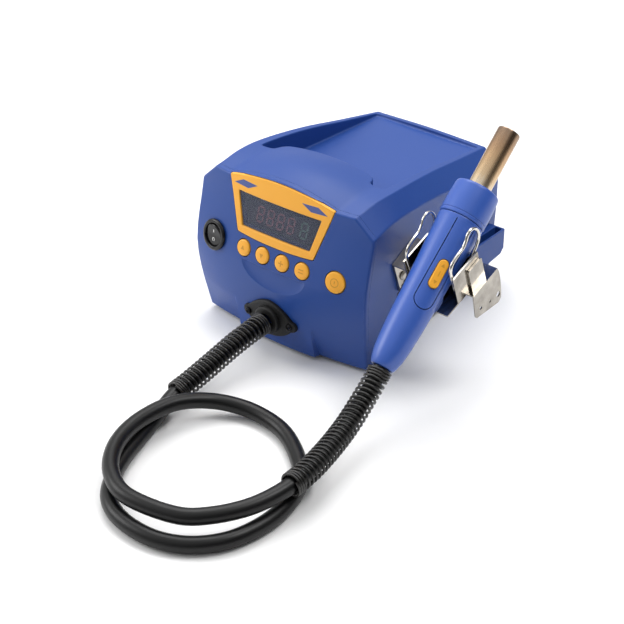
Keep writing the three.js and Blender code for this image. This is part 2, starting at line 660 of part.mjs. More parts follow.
// Mains board along the left wall: each component is [from the board's edge, its width, y0, y1, height].
const mainsBoard = { y0: 20, y1: 72, width: 42, fromWall: 9, z: panelWall + 6 };
const components = [[4, 16, 24, 40, 14], [24, 12, 26, 44, 9], [8, 6, 46, 60, 20], [20, 10, 50, 60, 16]];
function mainsBoardBody() {
  const { y0, y1, width, fromWall, z } = mainsBoard;
  const edge = fromWall - sideHalfWidth(y1);
  return components.reduce(
    (sum, [x, w, from, to, h]) => join(sum, block(edge + x, edge + x + w, from, to, z, z + h)),
    block(edge, edge + width, y0, y1, z, z + 1.6));
}
add(body, 'mains_board', mainsBoardBody(), green());

// Board behind the front panel, with a tact switch under each key's stem.
const panelBoardY = -88;
function panelBoard() {
  const reachX = frontHalfWidth - 14;
  let board = block(-reachX, reachX, panelBoardY, panelBoardY + 1.6, 60, 114);
  for (const x of [...keyRow.xs, startKey.x]) {
    const reach = frontNormal(x, keyRow.z).multiplyScalar(-(keyStem + keyTravel + gap));
    const tip = onFront(x, keyRow.z).add(reach);
    board = join(board, block(tip.x - 3, tip.x + 3, tip.y + 0.6, panelBoardY + 0.5, tip.z - 3, tip.z + 3));
  }
  const { x, z } = powerSwitch;
  return cut(board, aimedSolid(rod(switchRadius + 1, -40, 10), onFront(x, z), frontNormal(x, z)));
}
add(body, 'panel_board', common(panelBoard(), inside(gap, -5)), green());
add(body, 'display_module', block(-28, 28, panelBoardY - 11, panelBoardY - gap, 91, 109), black());

// ---- handpiece ----
const handAxis = new THREE.Vector3(0, Math.cos(rad(handTilt)), Math.sin(rad(handTilt)));
const handUp = new THREE.Vector3(0, -handAxis.z, handAxis.y);
const keyFacing = new THREE.Vector3(Math.sin(rad(handTurn)), 0, 0)
  .addScaledVector(handUp, Math.cos(rad(handTurn)));
const hand = new THREE.Group();
hand.position.set(handX, tailY, tailZ);
hand.quaternion.setFromRotationMatrix(new THREE.Matrix4().makeBasis(
  new THREE.Vector3().crossVectors(keyFacing, handAxis), keyFacing, handAxis));
root.add(hand);

const gripProfile = [
  [0, 8.3], [4, 9.9], [12, 11.6], [32, 13.2], [55, 14], [76, 14.8], [95, 15.7], [gripLength, 16.6],
];
const gripStations = [0, 4, 8, 12, 20, 32, 48, 62, 78, 92, 106, gripLength - 0.4];
const gripRadius = (s) => along(gripProfile, s);
const gripSides = 30;
function gripSkin(inset, from, to) {
  const stations = gripStations.filter((s) => s > from + 0.5 && s < to - 0.5);
  const edge = [from, ...stations, to].map((s) => [gripRadius(s) - inset, s]);
  return turned([[0, from], ...edge, [0, to]], gripSides);
}
const gripEnd = gripLength - 0.4;
const tailBore = hoseDiameter / 2 + 0.8;
const gripHollow = gripSkin(gripWall, 4, gripEnd + 1);
const gripShell = cut(gripSkin(0, 0, gripEnd), gripHollow, rod(tailBore, -2, 10, gripSides));

// The long inset panel that carries the key, open towards the collar.
const keyPanel = { low: 46, high: gripLength - 3, halfWidth: 7.7 };
const handKey = { centre: 73, length: 21.5, halfWidth: 3.6, swing: 4 };
function slotShape(halfWidth, low, high, roundTop) {
  const shape = new THREE.Shape();
  shape.moveTo(-halfWidth, low + halfWidth);
  shape.absarc(0, low + halfWidth, halfWidth, Math.PI, 2 * Math.PI);
  if (roundTop) shape.absarc(0, high - halfWidth, halfWidth, 0, Math.PI);
  else {
    shape.lineTo(halfWidth, high);
    shape.lineTo(-halfWidth, high);
  }
  return shape;
}
// Extrudes an outline drawn in the handpiece's (x, z) plane towards the key side.
const keyward = (shape, from, to) => {
  const slab = new THREE.ExtrudeGeometry(shape, { depth: to - from, bevelEnabled: false, curveSegments: 6 });
  return solidOf(slab.rotateX(Math.PI / 2).translate(0, to, 0));
};
const panelCut = keyward(slotShape(keyPanel.halfWidth, keyPanel.low, keyPanel.high, false), 4, 30);
const keyLow = handKey.centre - handKey.length / 2;
const keyHigh = handKey.centre + handKey.length / 2;

// Rubber pad under the fingers, let into the back half.
const fingerPad = { low: 47, high: 78, halfWidth: 14, proud: 1.1, depth: 1.2 };
const padOutline = (grow) => roundedRect(-fingerPad.halfWidth - grow, fingerPad.halfWidth + grow,
  fingerPad.low - grow, fingerPad.high + grow, 5);
const padSlab = (grow) => keyward(padOutline(grow), -30, -2);

const halfSpace = 60;
const frontHalf = block(-halfSpace, halfSpace, gap / 2, halfSpace, -10, 200);
const backHalf = block(-halfSpace, halfSpace, -halfSpace, -gap / 2, -10, 200);
add(hand, 'grip_front', cut(common(gripShell, frontHalf), panelCut), blue());
const padPocket = cut(common(padSlab(gap), gripSkin(-5, 30, 100)), gripSkin(fingerPad.depth + gap, 20, 110));
add(hand, 'grip_back', cut(common(gripShell, backHalf), padPocket), blue());
const padSkin = cut(gripSkin(-fingerPad.proud, 30, 100), gripSkin(fingerPad.depth, 20, 110));
const padBody = common(padSlab(0), padSkin);
add(hand, 'finger_pad', padBody, rubber());

const panelShape = slotShape(keyPanel.halfWidth - gap, keyPanel.low + gap, keyPanel.high - gap, false);
const panelSlot = keyward(panelShape, 4, 30);
const keyHole = keyward(slotShape(handKey.halfWidth + 0.6, keyLow - 0.6, keyHigh + 0.6, true), 4, 30);
const panelBody = cut(common(gripShell, frontHalf, panelSlot), keyHole);
add(hand, 'key_panel', panelBody, blue());

function handKeyBody() {
  const reach = gripRadius(handKey.centre);
  const cap = keyward(slotShape(handKey.halfWidth, keyLow, keyHigh, true), reach - 4.2, reach + 0.9);
  const foot = block(-1.6, 1.6, reach - 6.5, reach - 4, handKey.centre - 3, handKey.centre + 3);
  return join(cap, foot);
}
add(hand, 'hand_key', handKeyBody(), yellow());
add(hand, 'hand_board', block(-6, 6, 6.4, 7.6, 56, 92), green());

const collarStart = gripLength;
const pipeTip = gripLength + collarLength + pipeReach;
function collar() {
  const end = collarStart + collarLength;
  const bore = pipeRadius + gap;
  return turned([
    [bore, collarStart], [collarRadius - 0.8, collarStart], [collarRadius, collarStart + 1],
    [collarRadius, end - 12], [collarRadius - 0.5, end - 1.8], [collarRadius - 1.1, end - 0.6],
    [collarRadius - 2.4, end], [bore, end],
  ], gripSides);
}
add(hand, 'collar', collar(), blue());
const pipeFoot = 108;
const heaterPipe = turned([
  [pipeRadius - pipeWall, pipeFoot], [pipeRadius, pipeFoot], [pipeRadius, pipeTip - 0.6],
  [pipeRadius - 0.3, pipeTip], [pipeRadius - pipeWall, pipeTip],
], 32);
add(hand, 'heater_pipe', heaterPipe, hotSteel());
function heaterCore() {
  const core = rod(pipeRadius - pipeWall - 2.1, pipeFoot + 8, pipeTip - 16, 24);
  const bores = [0, 1, 2, 3].map((i) => turnedBy(moved(rod(1.6, 0, 300, 10), 3, 0, 0), 0, 0, i * 90));
  return cut(core, ...bores);
}
add(hand, 'heater_core', heaterCore(), ceramic());
const mountRing = cut(rod(gripRadius(106) - gripWall - 0.6, 102, 106.5, 32), rod(5.2, 90, 120, 24));
add(hand, 'heater_mount', mountRing, ceramic());
const innerTube = cut(rod(4.9, 12, 104, 20), rod(3.9, 0, 120, 20));
add(hand, 'inner_air_tube', innerTube, rubber());

// ---- holder: bracket, cradle and two spring wires ----
const holder = new THREE.Group();
holder.position.set(handX, holderY, holderZ);
holder.rotation.x = rad(holderTilt);
root.add(holder);
holder.updateMatrix();
const toHolder = holder.matrix.clone().invert();
hand.updateMatrix();
const handInHolder = (manifold) => manifold.transform(toHolder.clone().multiply(hand.matrix).elements);
const housingInHolder = (manifold) => {
  const placed = new THREE.Matrix4().makeTranslation(0, 0, footHeight);
  return manifold.transform(toHolder.clone().multiply(placed).elements);
};

const rivetHole = 1.9;
const rivetShift = -8; // the cradle's holes lie this far forward of the bracket screws
const cradle = { front: -34, wallFront: -21, back: 8, endDrop: 4, notchDepth: 19, notchHalfWidth: 11.8 };
function cradleBody() {
  const w = cradleHalfWidth + sheet / 2;
  const low = cradleFloorTop - sheet;
  const floor = block(-w, w, cradle.front, cradle.back + sheet, low, cradleFloorTop);
  const back = block(-w, w, cradle.back, cradle.back + sheet, low, cradleWallHeight - cradle.endDrop);
  const rear = cradle.back + sheet;
  const side = polygon([[cradle.wallFront, low], [rear, low], [rear, cradleWallHeight],
    [cradle.wallFront, cradleWallHeight]]);
  const left = prism(side, 'x', -w, -w + sheet);
  const right = prism(side, 'x', w - sheet, w);
  const notch = new THREE.Shape();
  notch.absellipse(0, cradle.front, cradle.notchHalfWidth, cradle.notchDepth, 0, 2 * Math.PI, false);
  const saddle = handInHolder(rod(gripRadius(101) + 0.6, 60, 160, gripSides));
  return cut(join(floor, back, left, right), prism(notch, 'z', -10, 12, 20), saddle,
    ...bracketHoles.map((u) => moved(rod(rivetHole, -10, 12, 16), 0, u + rivetShift, 0)));
}
add(holder, 'holder_cradle', cradleBody(), steel());

const plate = { x: cradleHalfWidth + 6, top: cradleFloorTop - sheet - gap };
const tabZ = -14;
function bracket() {
  const low = plate.top - sheet;
  const bodySide = frontHalfWidth - handX - 5;
  const strap = block(bodySide, plate.x, -10, 20, low, plate.top);
  const earX = cradleHalfWidth + sheet / 2 + gap;
  const ear = prism(roundedRect(-6, 10, low, 21, 1.5), 'x', earX, earX + 1.5);
  const hang = new THREE.Shape();
  hang.moveTo(20, plate.top);
  hang.lineTo(-10, plate.top);
  hang.lineTo(-12.2, -16);
  hang.quadraticCurveTo(-12.4, -19.4, -9.4, -19.5);
  hang.lineTo(12, -27);
  hang.quadraticCurveTo(16.5, -28.6, 18.4, -24);
  hang.quadraticCurveTo(21.5, -12, 21, -2);
  hang.lineTo(20, plate.top);
  const holes = [[-5, -14.4, 1.7], [5.7, -18.2, 1.3], [15.5, -20.6, 2.5]];
  for (const [u, w, r] of holes) {
    const hole = new THREE.Path();
    hole.absarc(u, w, r, 0, 2 * Math.PI, true);
    hang.holes.push(hole);
  }
  const hanging = prism(hang, 'x', plate.x - sheet, plate.x);
  const tab = block(bodySide, bodySide + 5.5, -10, 20, -26, plate.top);
  const steelwork = join(strap, ear, hanging, tab);
  const trimmed = cut(steelwork, housingInHolder(housingLoft(-gap, -20, -118, rearY + 10)));
  return cut(trimmed, ...bracketHoles.map((u) => moved(rod(rivetHole, -10, 12, 16), 0, u + rivetShift, 0)),
    ...bracketHoles.map((u) => turnedBy(rod(rivetHole, -20, 20, 16), 0, 90, 0)
      .translate([bodySide, u, tabZ])));
}
add(holder, 'holder_bracket', bracket(), steel());

bracketHoles.forEach((u, i) => {
  const under = plate.top - sheet - gap;
  const rivet = turned([[0, under - 1.8], [2.6, under - 1.8], [3.2, under - 0.6], [3.2, under], [1.5, under],
    [1.5, cradleFloorTop + 0.4], [0, cradleFloorTop + 0.4]], 16);
  add(holder, `cradle_rivet_${i + 1}`, moved(rivet, 0, u + rivetShift, 0), steel());
});
bracketHoles.forEach((u, i) => {
  const seatX = frontHalfWidth - handX + 0.5 + gap;
  const head = turned([[0, 2], [2.4, 1.6], [3.4, 0.4], [3.4, 0], [1.5, 0], [1.5, -1.8], [0, -1.8]], 16);
  add(holder, `bracket_screw_${i + 1}`, turnedBy(head, 0, 90, 0).translate([seatX, u, tabZ]), steel());
});

// A hairpin of spring wire standing on the inside of each cradle wall.
function hairpin() {
  const points = [[-18, 6], [-18.4, 18], [-19, 28], [-18.4, 32.5], [-15, 36.4], [-8.5, 38.2], [-1, 39.2],
    [2.6, 41.6], [6.2, 45], [10, 46], [14, 43.6], [16.6, 38.6], [16.2, 33], [12.4, 28.6], [7, 24.6], [4.6, 20],
    [4.4, 6]].map(([u, w]) => new THREE.Vector3(0, u, w));
  const path = new THREE.CatmullRomCurve3(points, false, 'centripetal');
  const ring = new THREE.Shape();
  ring.absarc(0, 0, wireDiameter / 2, 0, 2 * Math.PI);
  return new THREE.ExtrudeGeometry(ring, { steps: 28, curveSegments: 4, extrudePath: path });
}
const wireX = cradleHalfWidth - sheet / 2 - gap - wireDiameter / 2;
['left', 'right'].forEach((side, i) => {
  const wire = add(holder, `cradle_wire_${side}`, solidOf(hairpin()), steel());
  wire.position.x = (i * 2 - 1) * wireX;
});

// ---- hose: from the gland along the bench, one and a half turns, and up to the handpiece's tail ----
const hoseRoute = [
  [0, -119.9, 27.4], [-0.6, -131, 26], [-2, -150, 22.6], [-3, -174, 17.2], [-4, -197, 12.4],
  [-4.6, -212, 9.6], [-2, -226, 7.2], [3, -242, 6.1], [17, -285, 6], [26.5, -304, 6], [39, -320, 6],
  [54, -329, 6], [74, -333, 6], [95, -331, 6], [113, -322, 6], [128, -304, 6], [135, -278, 6],
  [134, -254, 6], [128, -235, 6], [118, -220, 6], [87, -196.5, 6], [67, -190, 6.4], [44, -191, 8],
  [24, -203, 12], [11, -225, 16.8], [7, -255, 18.4], [11.5, -281, 18.2], [23, -301, 18.2],
  [38, -314.5, 18.2], [58, -322.5, 18.2], [99, -316, 18.2], [114, -303.5, 18.4], [127, -283, 18.8],
  [133.5, -261, 19.8], [134.5, -236, 20.8], [131, -209, 21.8], [126.5, -182, 25.4], [123.4, -160, 33.6],
];
const tail = new THREE.Vector3(handX, tailY, tailZ);
const tailEntry = [12, gap].map((back) => tail.clone().addScaledVector(handAxis, -back));
const routePoints = [...hoseRoute.map(([x, y, z]) => new THREE.Vector3(x, y, z)), ...tailEntry];
const route = new THREE.CatmullRomCurve3(routePoints, false, 'centripetal');
route.arcLengthDivisions = 1200;
const routeLength = route.getLength();

class Stretch extends THREE.Curve {
  constructor(from, to) {
    super();
    this.from = from / routeLength;
    this.to = to / routeLength;
  }

  getPoint(t, target = new THREE.Vector3()) {
    return route.getPointAt(THREE.MathUtils.lerp(this.from, this.to, t), target);
  }
}

function tube(from, to, diameter, steps) {
  const section = new THREE.Shape();
  section.absarc(0, 0, diameter / 2, 0, 2 * Math.PI);
  const settings = { steps, curveSegments: 4, extrudePath: new Stretch(from, to) };
  return solidOf(new THREE.ExtrudeGeometry(section, settings));
}
const guardHandStart = routeLength - guardHandLength;
add(root, 'guard_station', tube(0, guardStationLength, guardDiameter, 8), rubber());
add(root, 'hose', tube(guardStationLength + gap, guardHandStart - gap, hoseDiameter, 46), rubber());
add(root, 'guard_handpiece', tube(guardHandStart, routeLength, guardDiameter, 12), rubber());

// ---- origin at the centre of the footprint, without the hose and its guards ----
root.updateMatrixWorld(true);
const onHose = ['guard_station', 'hose', 'guard_handpiece'];
const footprint = new THREE.Box3();
root.traverse((item) => {
  if (item.isMesh && !onHose.includes(item.name)) footprint.expandByObject(item, true);
});
const middle = footprint.getCenter(new THREE.Vector3());
root.position.set(-middle.x, -middle.y, 0);

export default root;
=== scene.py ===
# Hot air rework station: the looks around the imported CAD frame.
# Pieces are drawn in millimetres in the station's own frame: x across from its centre line, y towards the
# back, z up from the housing's bottom edge. Objects are made in metres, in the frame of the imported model.
import math

import bmesh
import bpy
from mathutils import Matrix, Vector


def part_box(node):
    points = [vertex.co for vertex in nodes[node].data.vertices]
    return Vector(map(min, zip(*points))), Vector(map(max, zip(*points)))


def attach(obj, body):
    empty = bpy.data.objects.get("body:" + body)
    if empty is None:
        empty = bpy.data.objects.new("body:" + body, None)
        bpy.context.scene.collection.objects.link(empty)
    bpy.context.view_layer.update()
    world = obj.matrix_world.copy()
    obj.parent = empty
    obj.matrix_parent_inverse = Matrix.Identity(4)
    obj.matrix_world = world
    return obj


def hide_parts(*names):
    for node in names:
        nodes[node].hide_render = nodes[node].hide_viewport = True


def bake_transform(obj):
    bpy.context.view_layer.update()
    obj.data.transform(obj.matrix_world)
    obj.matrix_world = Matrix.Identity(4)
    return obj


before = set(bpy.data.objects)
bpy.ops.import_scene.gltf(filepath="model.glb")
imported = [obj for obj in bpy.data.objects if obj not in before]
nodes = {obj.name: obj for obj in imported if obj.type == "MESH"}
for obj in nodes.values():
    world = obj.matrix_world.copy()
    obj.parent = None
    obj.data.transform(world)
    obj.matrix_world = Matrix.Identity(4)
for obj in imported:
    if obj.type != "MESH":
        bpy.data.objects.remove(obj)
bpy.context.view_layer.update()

mm = 0.001
weld = 1e-6  # points closer than this become one
housing = {
    "rearY": 85, "frontEdgeY": -93, "frontHalfWidth": 80, "rearHalfWidth": 66, "tuck": 4, "tuckZ": 57,
    "chamferHeight": 14.2, "domeRise": 7, "domeHalfWidth": 49, "wall": 2.5, "fasciaWall": 4, "gap": 0.3,
    "rimRadius": 2.2, "kneeRadius": 3.0, "ridgeX": 36, "ridgeTopZ": 27, "ridgeStep": 6, "foreY": -118,
}
beyond = 200  # a distance past every side of the object, for cutters
hoodLow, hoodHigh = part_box("hood")
centreX = (hoodLow.x + hoodHigh.x) / 2
stationOrigin = Vector((centreX, hoodHigh.y - housing["rearY"] * mm, hoodLow.z))
benchOrigin = Vector((stationOrigin.x, stationOrigin.y, 0))
fromStation = Matrix.Translation(stationOrigin) @ Matrix.Scale(mm, 4)


def linked(name, data):  # a new object in the scene
    item = bpy.data.objects.new(name, data)
    bpy.context.scene.collection.objects.link(item)
    return item


def aimed(item, location, direction):  # for a camera or a light
    item.location = location
    item.rotation_mode = "QUATERNION"
    item.rotation_quaternion = direction.to_track_quat("-Z", "Y")


# camera
camera = {
    "azimuth": 39.2, "elevation": 31.6, "distance": 1.2446, "lens": 93.9, "sensor": 36,
    "target": (-0.36, -63.27, 4.96), "near": 0.05, "far": 50,
}


def addCamera():
    data = bpy.data.cameras.new("camera")
    data.lens, data.sensor_width = camera["lens"], camera["sensor"]
    data.clip_start, data.clip_end = camera["near"], camera["far"]
    turn, lift = math.radians(camera["azimuth"]), math.radians(camera["elevation"])
    back = Vector((math.sin(turn) * math.cos(lift), -math.cos(turn) * math.cos(lift), math.sin(lift)))
    item = linked("camera", data)
    aimed(item, fromStation @ Vector(camera["target"]) + back * camera["distance"], -back)
    bpy.context.scene.camera = item


addCamera()


# small tools
def lerp(a, b, t):
    return a + (b - a) * t


def smooth(t):
    t = min(1.0, max(0.0, t))
    return t * t * (3 - 2 * t)


def along(points, t):  # smooth value at t through a short list of (t, value)
    if t <= points[0][0]:
        return points[0][1]
    if t >= points[-1][0]:
        return points[-1][1]
    i = next(k for k in range(len(points)) if points[k][0] > t) - 1

    def slope(a, b):
        return (points[b][1] - points[a][1]) / (points[b][0] - points[a][0])

    last = len(points) - 1
    span = points[i + 1][0] - points[i][0]
    m0 = slope(0, 1) if i == 0 else slope(i - 1, i + 1)
    m1 = slope(i, i + 1) if i + 1 == last else slope(i, i + 2)
    s = (t - points[i][0]) / span
    rise = points[i + 1][1] - points[i][1]
    c2 = 3 * rise - span * (2 * m0 + m1)
    c3 = span * (m0 + m1) - 2 * rise
    return points[i][1] + span * m0 * s + c2 * s * s + c3 * s * s * s


def makeObject(name, verts, faces):
    mesh = bpy.data.meshes.new(name)
    mesh.from_pydata([tuple(v) for v in verts], [], faces)
    mesh.update()
    return linked(name, mesh)


def tidyMesh(item, flatAngle=0):  # welds doubles, joins flat faces if asked, and turns every face outwards
    work = bmesh.new()
    work.from_mesh(item.data)
    bmesh.ops.remove_doubles(work, verts=work.verts, dist=weld)
    if flatAngle:
        limit = math.radians(flatAngle)
        bmesh.ops.dissolve_limit(work, angle_limit=limit, verts=work.verts, edges=work.edges)
    bmesh.ops.recalc_face_normals(work, faces=work.faces)
    work.to_mesh(item.data)
    work.free()


def solid(name, verts, faces, place=None):
    item = makeObject(name, verts, faces)
    tidyMesh(item)
    if place is not None:
        item.data.transform(place)
    return item


def flat(item):  # the item's modifiers made real
    depsgraph = bpy.context.evaluated_depsgraph_get()
    result = bpy.data.meshes.new_from_object(item.evaluated_get(depsgraph))
    item.modifiers.clear()
    item.data = result
    return item


def combined(base, *steps):  # applies a run of ("DIFFERENCE" | "INTERSECT" | "UNION", tool) to base
    for operation, tool in steps:
        change = base.modifiers.new("step", "BOOLEAN")
        change.operation = operation
        change.solver = "MANIFOLD"
        change.object = tool
    flat(base)
    for _, tool in steps:
        bpy.data.objects.remove(tool)
    return base


def cuts(tools):  # steps that take every tool away
    return [("DIFFERENCE", tool) for tool in tools]


def settle(item, finish, node=None, body="station", angle=35, weighted=True, scaled=True):
    # the last step of every piece: metres, shading, material, the body it rides on, the node it replaces
    if scaled:
        item.data.transform(fromStation)
    item.data.materials.clear()
    item.data.materials.append(materials[finish])
    for polygon in item.data.polygons:
        polygon.material_index = 0
    item.data.shade_smooth()
    if angle:
        item.data.set_sharp_from_angle(angle=math.radians(angle))
    if weighted:
        normals = item.modifiers.new("normals", "WEIGHTED_NORMAL")
        normals.keep_sharp = True
        flat(item)
    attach(item, body)
    if node:
        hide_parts(node)
    return item


def gridFaces(rows, count, closed=True):  # quads between rows of count points
    faces = []
    for i in range(rows - 1):
        for j in range(count if closed else count - 1):
            k = (j + 1) % count
            faces.append((i * count + j, i * count + k, (i + 1) * count + k, (i + 1) * count + j))
    return faces


def loft(name, loops, place=None):  # closed skin through loops of equal length
    count, total = len(loops[0]), len(loops) * len(loops[0])
    faces = gridFaces(len(loops), count)
    faces += [tuple(reversed(range(count))), tuple(range(total - count, total))]
    return solid(name, [p for loop in loops for p in loop], faces, place)


def ringSolid(name, loops, place=None):  # a ring: the last loop joins back on the first
    count = len(loops[0])
    total = len(loops) * count
    faces = [tuple(v % total for v in face) for face in gridFaces(len(loops) + 1, count)]
    return solid(name, [p for loop in loops for p in loop], faces, place)


def fullTurn(sides):
    return [2 * math.pi * k / sides for k in range(sides)]


def circle(r, z, sides):
    return [Vector((r * math.cos(a), r * math.sin(a), z)) for a in fullTurn(sides)]


def turned(name, profile, sides=64, place=None):  # lathe about z; ends on the axis or closes on itself
    if max(profile[0][0], profile[-1][0]) > weld:
        return ringSolid(name, [circle(r, z, sides) for r, z in profile], place)
    loops = [circle(r, z, sides) for r, z in profile[1:-1]]
    verts = [p for loop in loops for p in loop]
    low, last = len(verts), len(verts) - sides
    verts += [Vector((0, 0, profile[0][1])), Vector((0, 0, profile[-1][1]))]
    faces = gridFaces(len(loops), sides)
    faces += [(low, (k + 1) % sides, k) for k in range(sides)]
    faces += [(low + 1, last + k, last + (k + 1) % sides) for k in range(sides)]
    return solid(name, verts, faces, place)


def rectangle(x0, x1, y0, y1):
    return [(x0, y0), (x1, y0), (x1, y1), (x0, y1)]


def perimeter(corners, count):  # the outline through the corners with count points to a side
    sides = zip(corners, corners[1:] + corners[:1])
    return [tuple(Vector(a).lerp(Vector(b), k / count)) for a, b in sides for k in range(count)]


def block(name, x0, x1, y0, y1, z0, z1, place=None):
    return loft(name, [[Vector((x, y, z)) for x, y in rectangle(x0, x1, y0, y1)] for z in (z0, z1)], place)


def arc(cx, cy, r, a0, a1, steps):
    turns = [math.radians(lerp(a0, a1, k / steps)) for k in range(steps + 1)]
    return [(cx + r * math.cos(a), cy + r * math.sin(a)) for a in turns]


def bent(a, control, b, t):  # a point of a quadratic curve
    return a * (1 - t) ** 2 + control * 2 * t * (1 - t) + b * t * t


def rounded(profile, radii, steps):  # a profile with its corners turned to arcs; radii by point index
    result = []
    for i, point in enumerate(profile):
        if i not in radii:
            result.append(point)
            continue
        here = Vector(point)
        before = Vector(profile[i - 1]) - here
        after = Vector(profile[(i + 1) % len(profile)]) - here
        reach = min(radii[i], before.length * 0.49, after.length * 0.49)
        a = here + before.normalized() * reach
        b = here + after.normalized() * reach
        result += [tuple(bent(a, here, b, k / steps)) for k in range(steps + 1)]
    return result


def quadratic(a, control, b, steps):  # points of a quadratic curve, without its last one
    return [tuple(bent(Vector(a), Vector(control), Vector(b), k / steps)) for k in range(steps)]


def cubic(a, c1, c2, b, steps):
    result = []
    for k in range(steps):
        t = k / steps
        result.append(tuple(Vector(a) * (1 - t) ** 3 + Vector(c1) * 3 * t * (1 - t) ** 2
                            + Vector(c2) * 3 * t * t * (1 - t) + Vector(b) * t ** 3))
    return result


def aimedFrame(position, direction):  # +z along direction and +x level
    z = Vector(direction).normalized()
    x = Vector((-z.y, z.x, 0)).normalized()
    place = Matrix((x, z.cross(x), z)).transposed().to_4x4()
    place.translation = Vector(position)
    return place


def sweep(name, points, radius, sides):  # round tube through points, without twist
    loops = []
    side = (points[1] - points[0]).normalized().orthogonal().normalized()
    for i, p in enumerate(points):
        ahead = (points[min(i + 1, len(points) - 1)] - points[max(i - 1, 0)]).normalized()
        side = (side - ahead * side.dot(ahead)).normalized()
        up = ahead.cross(side)
        loops.append([p + (side * math.cos(a) + up * math.sin(a)) * radius for a in fullTurn(sides)])
    return loft(name, loops)


# materials
def addNode(tree, kind, inputs=None, **settings):
    item = tree.nodes.new("ShaderNode" + kind)
    for key, value in settings.items():
        setattr(item, key, value)
    for key, value in (inputs or {}).items():
        if isinstance(value, bpy.types.NodeSocket):
            tree.links.new(value, item.inputs[key])
        else:
            item.inputs[key].default_value = value
    return item


def maths(tree, operation, *values, clamped=False):
    return addNode(tree, "Math", dict(enumerate(values)), operation=operation, use_clamp=clamped).outputs[0]


def dot(tree, a, b):
    return addNode(tree, "VectorMath", {0: a, 1: b}, operation="DOT_PRODUCT").outputs["Value"]


def noise(tree, where, scale, detail, roughness):
    settings = {"Vector": where, "Scale": scale, "Detail": detail, "Roughness": roughness}
    return addNode(tree, "TexNoise", settings).outputs["Fac"]


def mapped(tree, value, low, high, newLow, newHigh, **settings):
    ends = {"From Min": low, "From Max": high, "To Min": newLow, "To Max": newHigh}
    return addNode(tree, "MapRange", {"Value": value, **ends}, **settings).outputs[0]


def mixedColour(tree, share, a, b):
    return addNode(tree, "Mix", {0: share, 6: a, 7: b}, data_type="RGBA").outputs[2]


def makeGroup(name, inputs, build):  # inputs by label and default; build gives the outputs by label
    group = bpy.data.node_groups.new(name, "ShaderNodeTree")
    for label, value in inputs.items():
        kind = {3: "Vector", 4: "Color"}[len(value)] if isinstance(value, tuple) else "Float"
        socket = group.interface.new_socket(name=label, in_out="INPUT", socket_type="NodeSocket" + kind)
        socket.default_value = value
    results = build(group, group.nodes.new("NodeGroupInput").outputs)
    for label in results:
        kind = "Color" if label == "Colour" else "Float"
        group.interface.new_socket(name=label, in_out="OUTPUT", socket_type="NodeSocket" + kind)
    end = group.nodes.new("NodeGroupOutput")
    for label, socket in results.items():
        group.links.new(socket, end.inputs[label])
    return group


def grainNodes(tree, given):  # the fine spark texture of moulded plastic
    where = addNode(tree, "TexCoord").outputs["Object"]
    fine = noise(tree, where, given["Scale"], 3.0, 0.6)
    broad = noise(tree, where, 35.0, 3.0, 0.55)
    centred = maths(tree, "SUBTRACT", maths(tree, "ADD", fine, broad), 1.0)
    spread = maths(tree, "MULTIPLY", centred, given["Spread"])
    return {"Roughness": maths(tree, "ADD", spread, given["Roughness"], clamped=True), "Height": fine}


def edgeHighlightAndDustNodes(tree, given):  # painted highlight along the edges, paler and broken up by noise, and a little dust lying on what faces up
    where = addNode(tree, "TexCoord").outputs["Object"]
    normal = addNode(tree, "NewGeometry").outputs["Normal"]
    soft = addNode(tree, "Bevel", {"Radius": given["Edge size"]}, samples=4).outputs[0]
    edge = mapped(tree, dot(tree, soft, normal), 0.99, 0.85, 0.0, 1.0)
    broken = mapped(tree, noise(tree, where, 160.0, 4.0, 0.65), 0.35, 0.65, 0.25, 1.0)
    highlightMask = maths(tree, "MULTIPLY", maths(tree, "MULTIPLY", edge, broken), given["Edge highlight"])
    upward = addNode(tree, "SeparateXYZ", {0: normal}).outputs["Z"]
    lying = maths(tree, "MULTIPLY", upward, noise(tree, where, 22.0, 5.0, 0.6), clamped=True)
    dust = maths(tree, "MULTIPLY", lying, given["Dust"])
    highlighted = mixedColour(tree, highlightMask, given["Colour"], given["Highlight colour"])
    return {"Colour": mixedColour(tree, dust, highlighted, given["Dust colour"])}


def brushedNodes(tree, given):  # long fine scratches along one direction of the piece
    where = addNode(tree, "TexCoord").outputs["Object"]
    drawn = addNode(tree, "VectorMath", {0: where, 1: given["Stretch"]}, operation="MULTIPLY").outputs[0]
    lines = noise(tree, drawn, given["Scale"], 4.0, 0.6)
    spread = maths(tree, "MULTIPLY", maths(tree, "SUBTRACT", lines, 0.5), given["Spread"])
    tone = mapped(tree, noise(tree, where, 60.0, 3.0, 0.6), 0.35, 0.7, 0.0, 0.6)
    return {"Colour": mixedColour(tree, tone, given["Colour"], given["Dark colour"]),
            "Roughness": maths(tree, "ADD", spread, given["Roughness"], clamped=True), "Height": lines}


grain = makeGroup("mouldedGrain", {"Scale": 1800.0, "Roughness": 0.4, "Spread": 0.08}, grainNodes)
# a painted highlight along the edges, and a little dust on what faces up
edgeHighlightAndDust = makeGroup("edgeHighlightAndDust", {
    "Colour": (0.1, 0.1, 0.1, 1), "Highlight colour": (0.5, 0.5, 0.5, 1), "Edge size": 0.0008, "Edge highlight": 0.3,
    "Dust colour": (0.62, 0.62, 0.6, 1), "Dust": 0.03}, edgeHighlightAndDustNodes)
brushed = makeGroup("brushedMetal", {
    "Stretch": (1.0, 1.0, 1.0), "Scale": 900.0, "Roughness": 0.3, "Spread": 0.2,
    "Colour": (0.7, 0.7, 0.68, 1), "Dark colour": (0.45, 0.44, 0.42, 1)}, brushedNodes)


def linear(code):  # a hex colour as linear light
    parts = [int(code[i:i + 2], 16) / 255 for i in (1, 3, 5)]
    return tuple(c / 12.92 if c <= 0.04045 else ((c + 0.055) / 1.055) ** 2.4 for c in parts) + (1.0,)


def startMaterial(name):
    material = bpy.data.materials.new(name)
    material.use_nodes = True
    return material, material.node_tree, material.node_tree.nodes["Principled BSDF"]


def placeGroup(tree, group, inputs):
    return addNode(tree, "Group", inputs, node_tree=group)


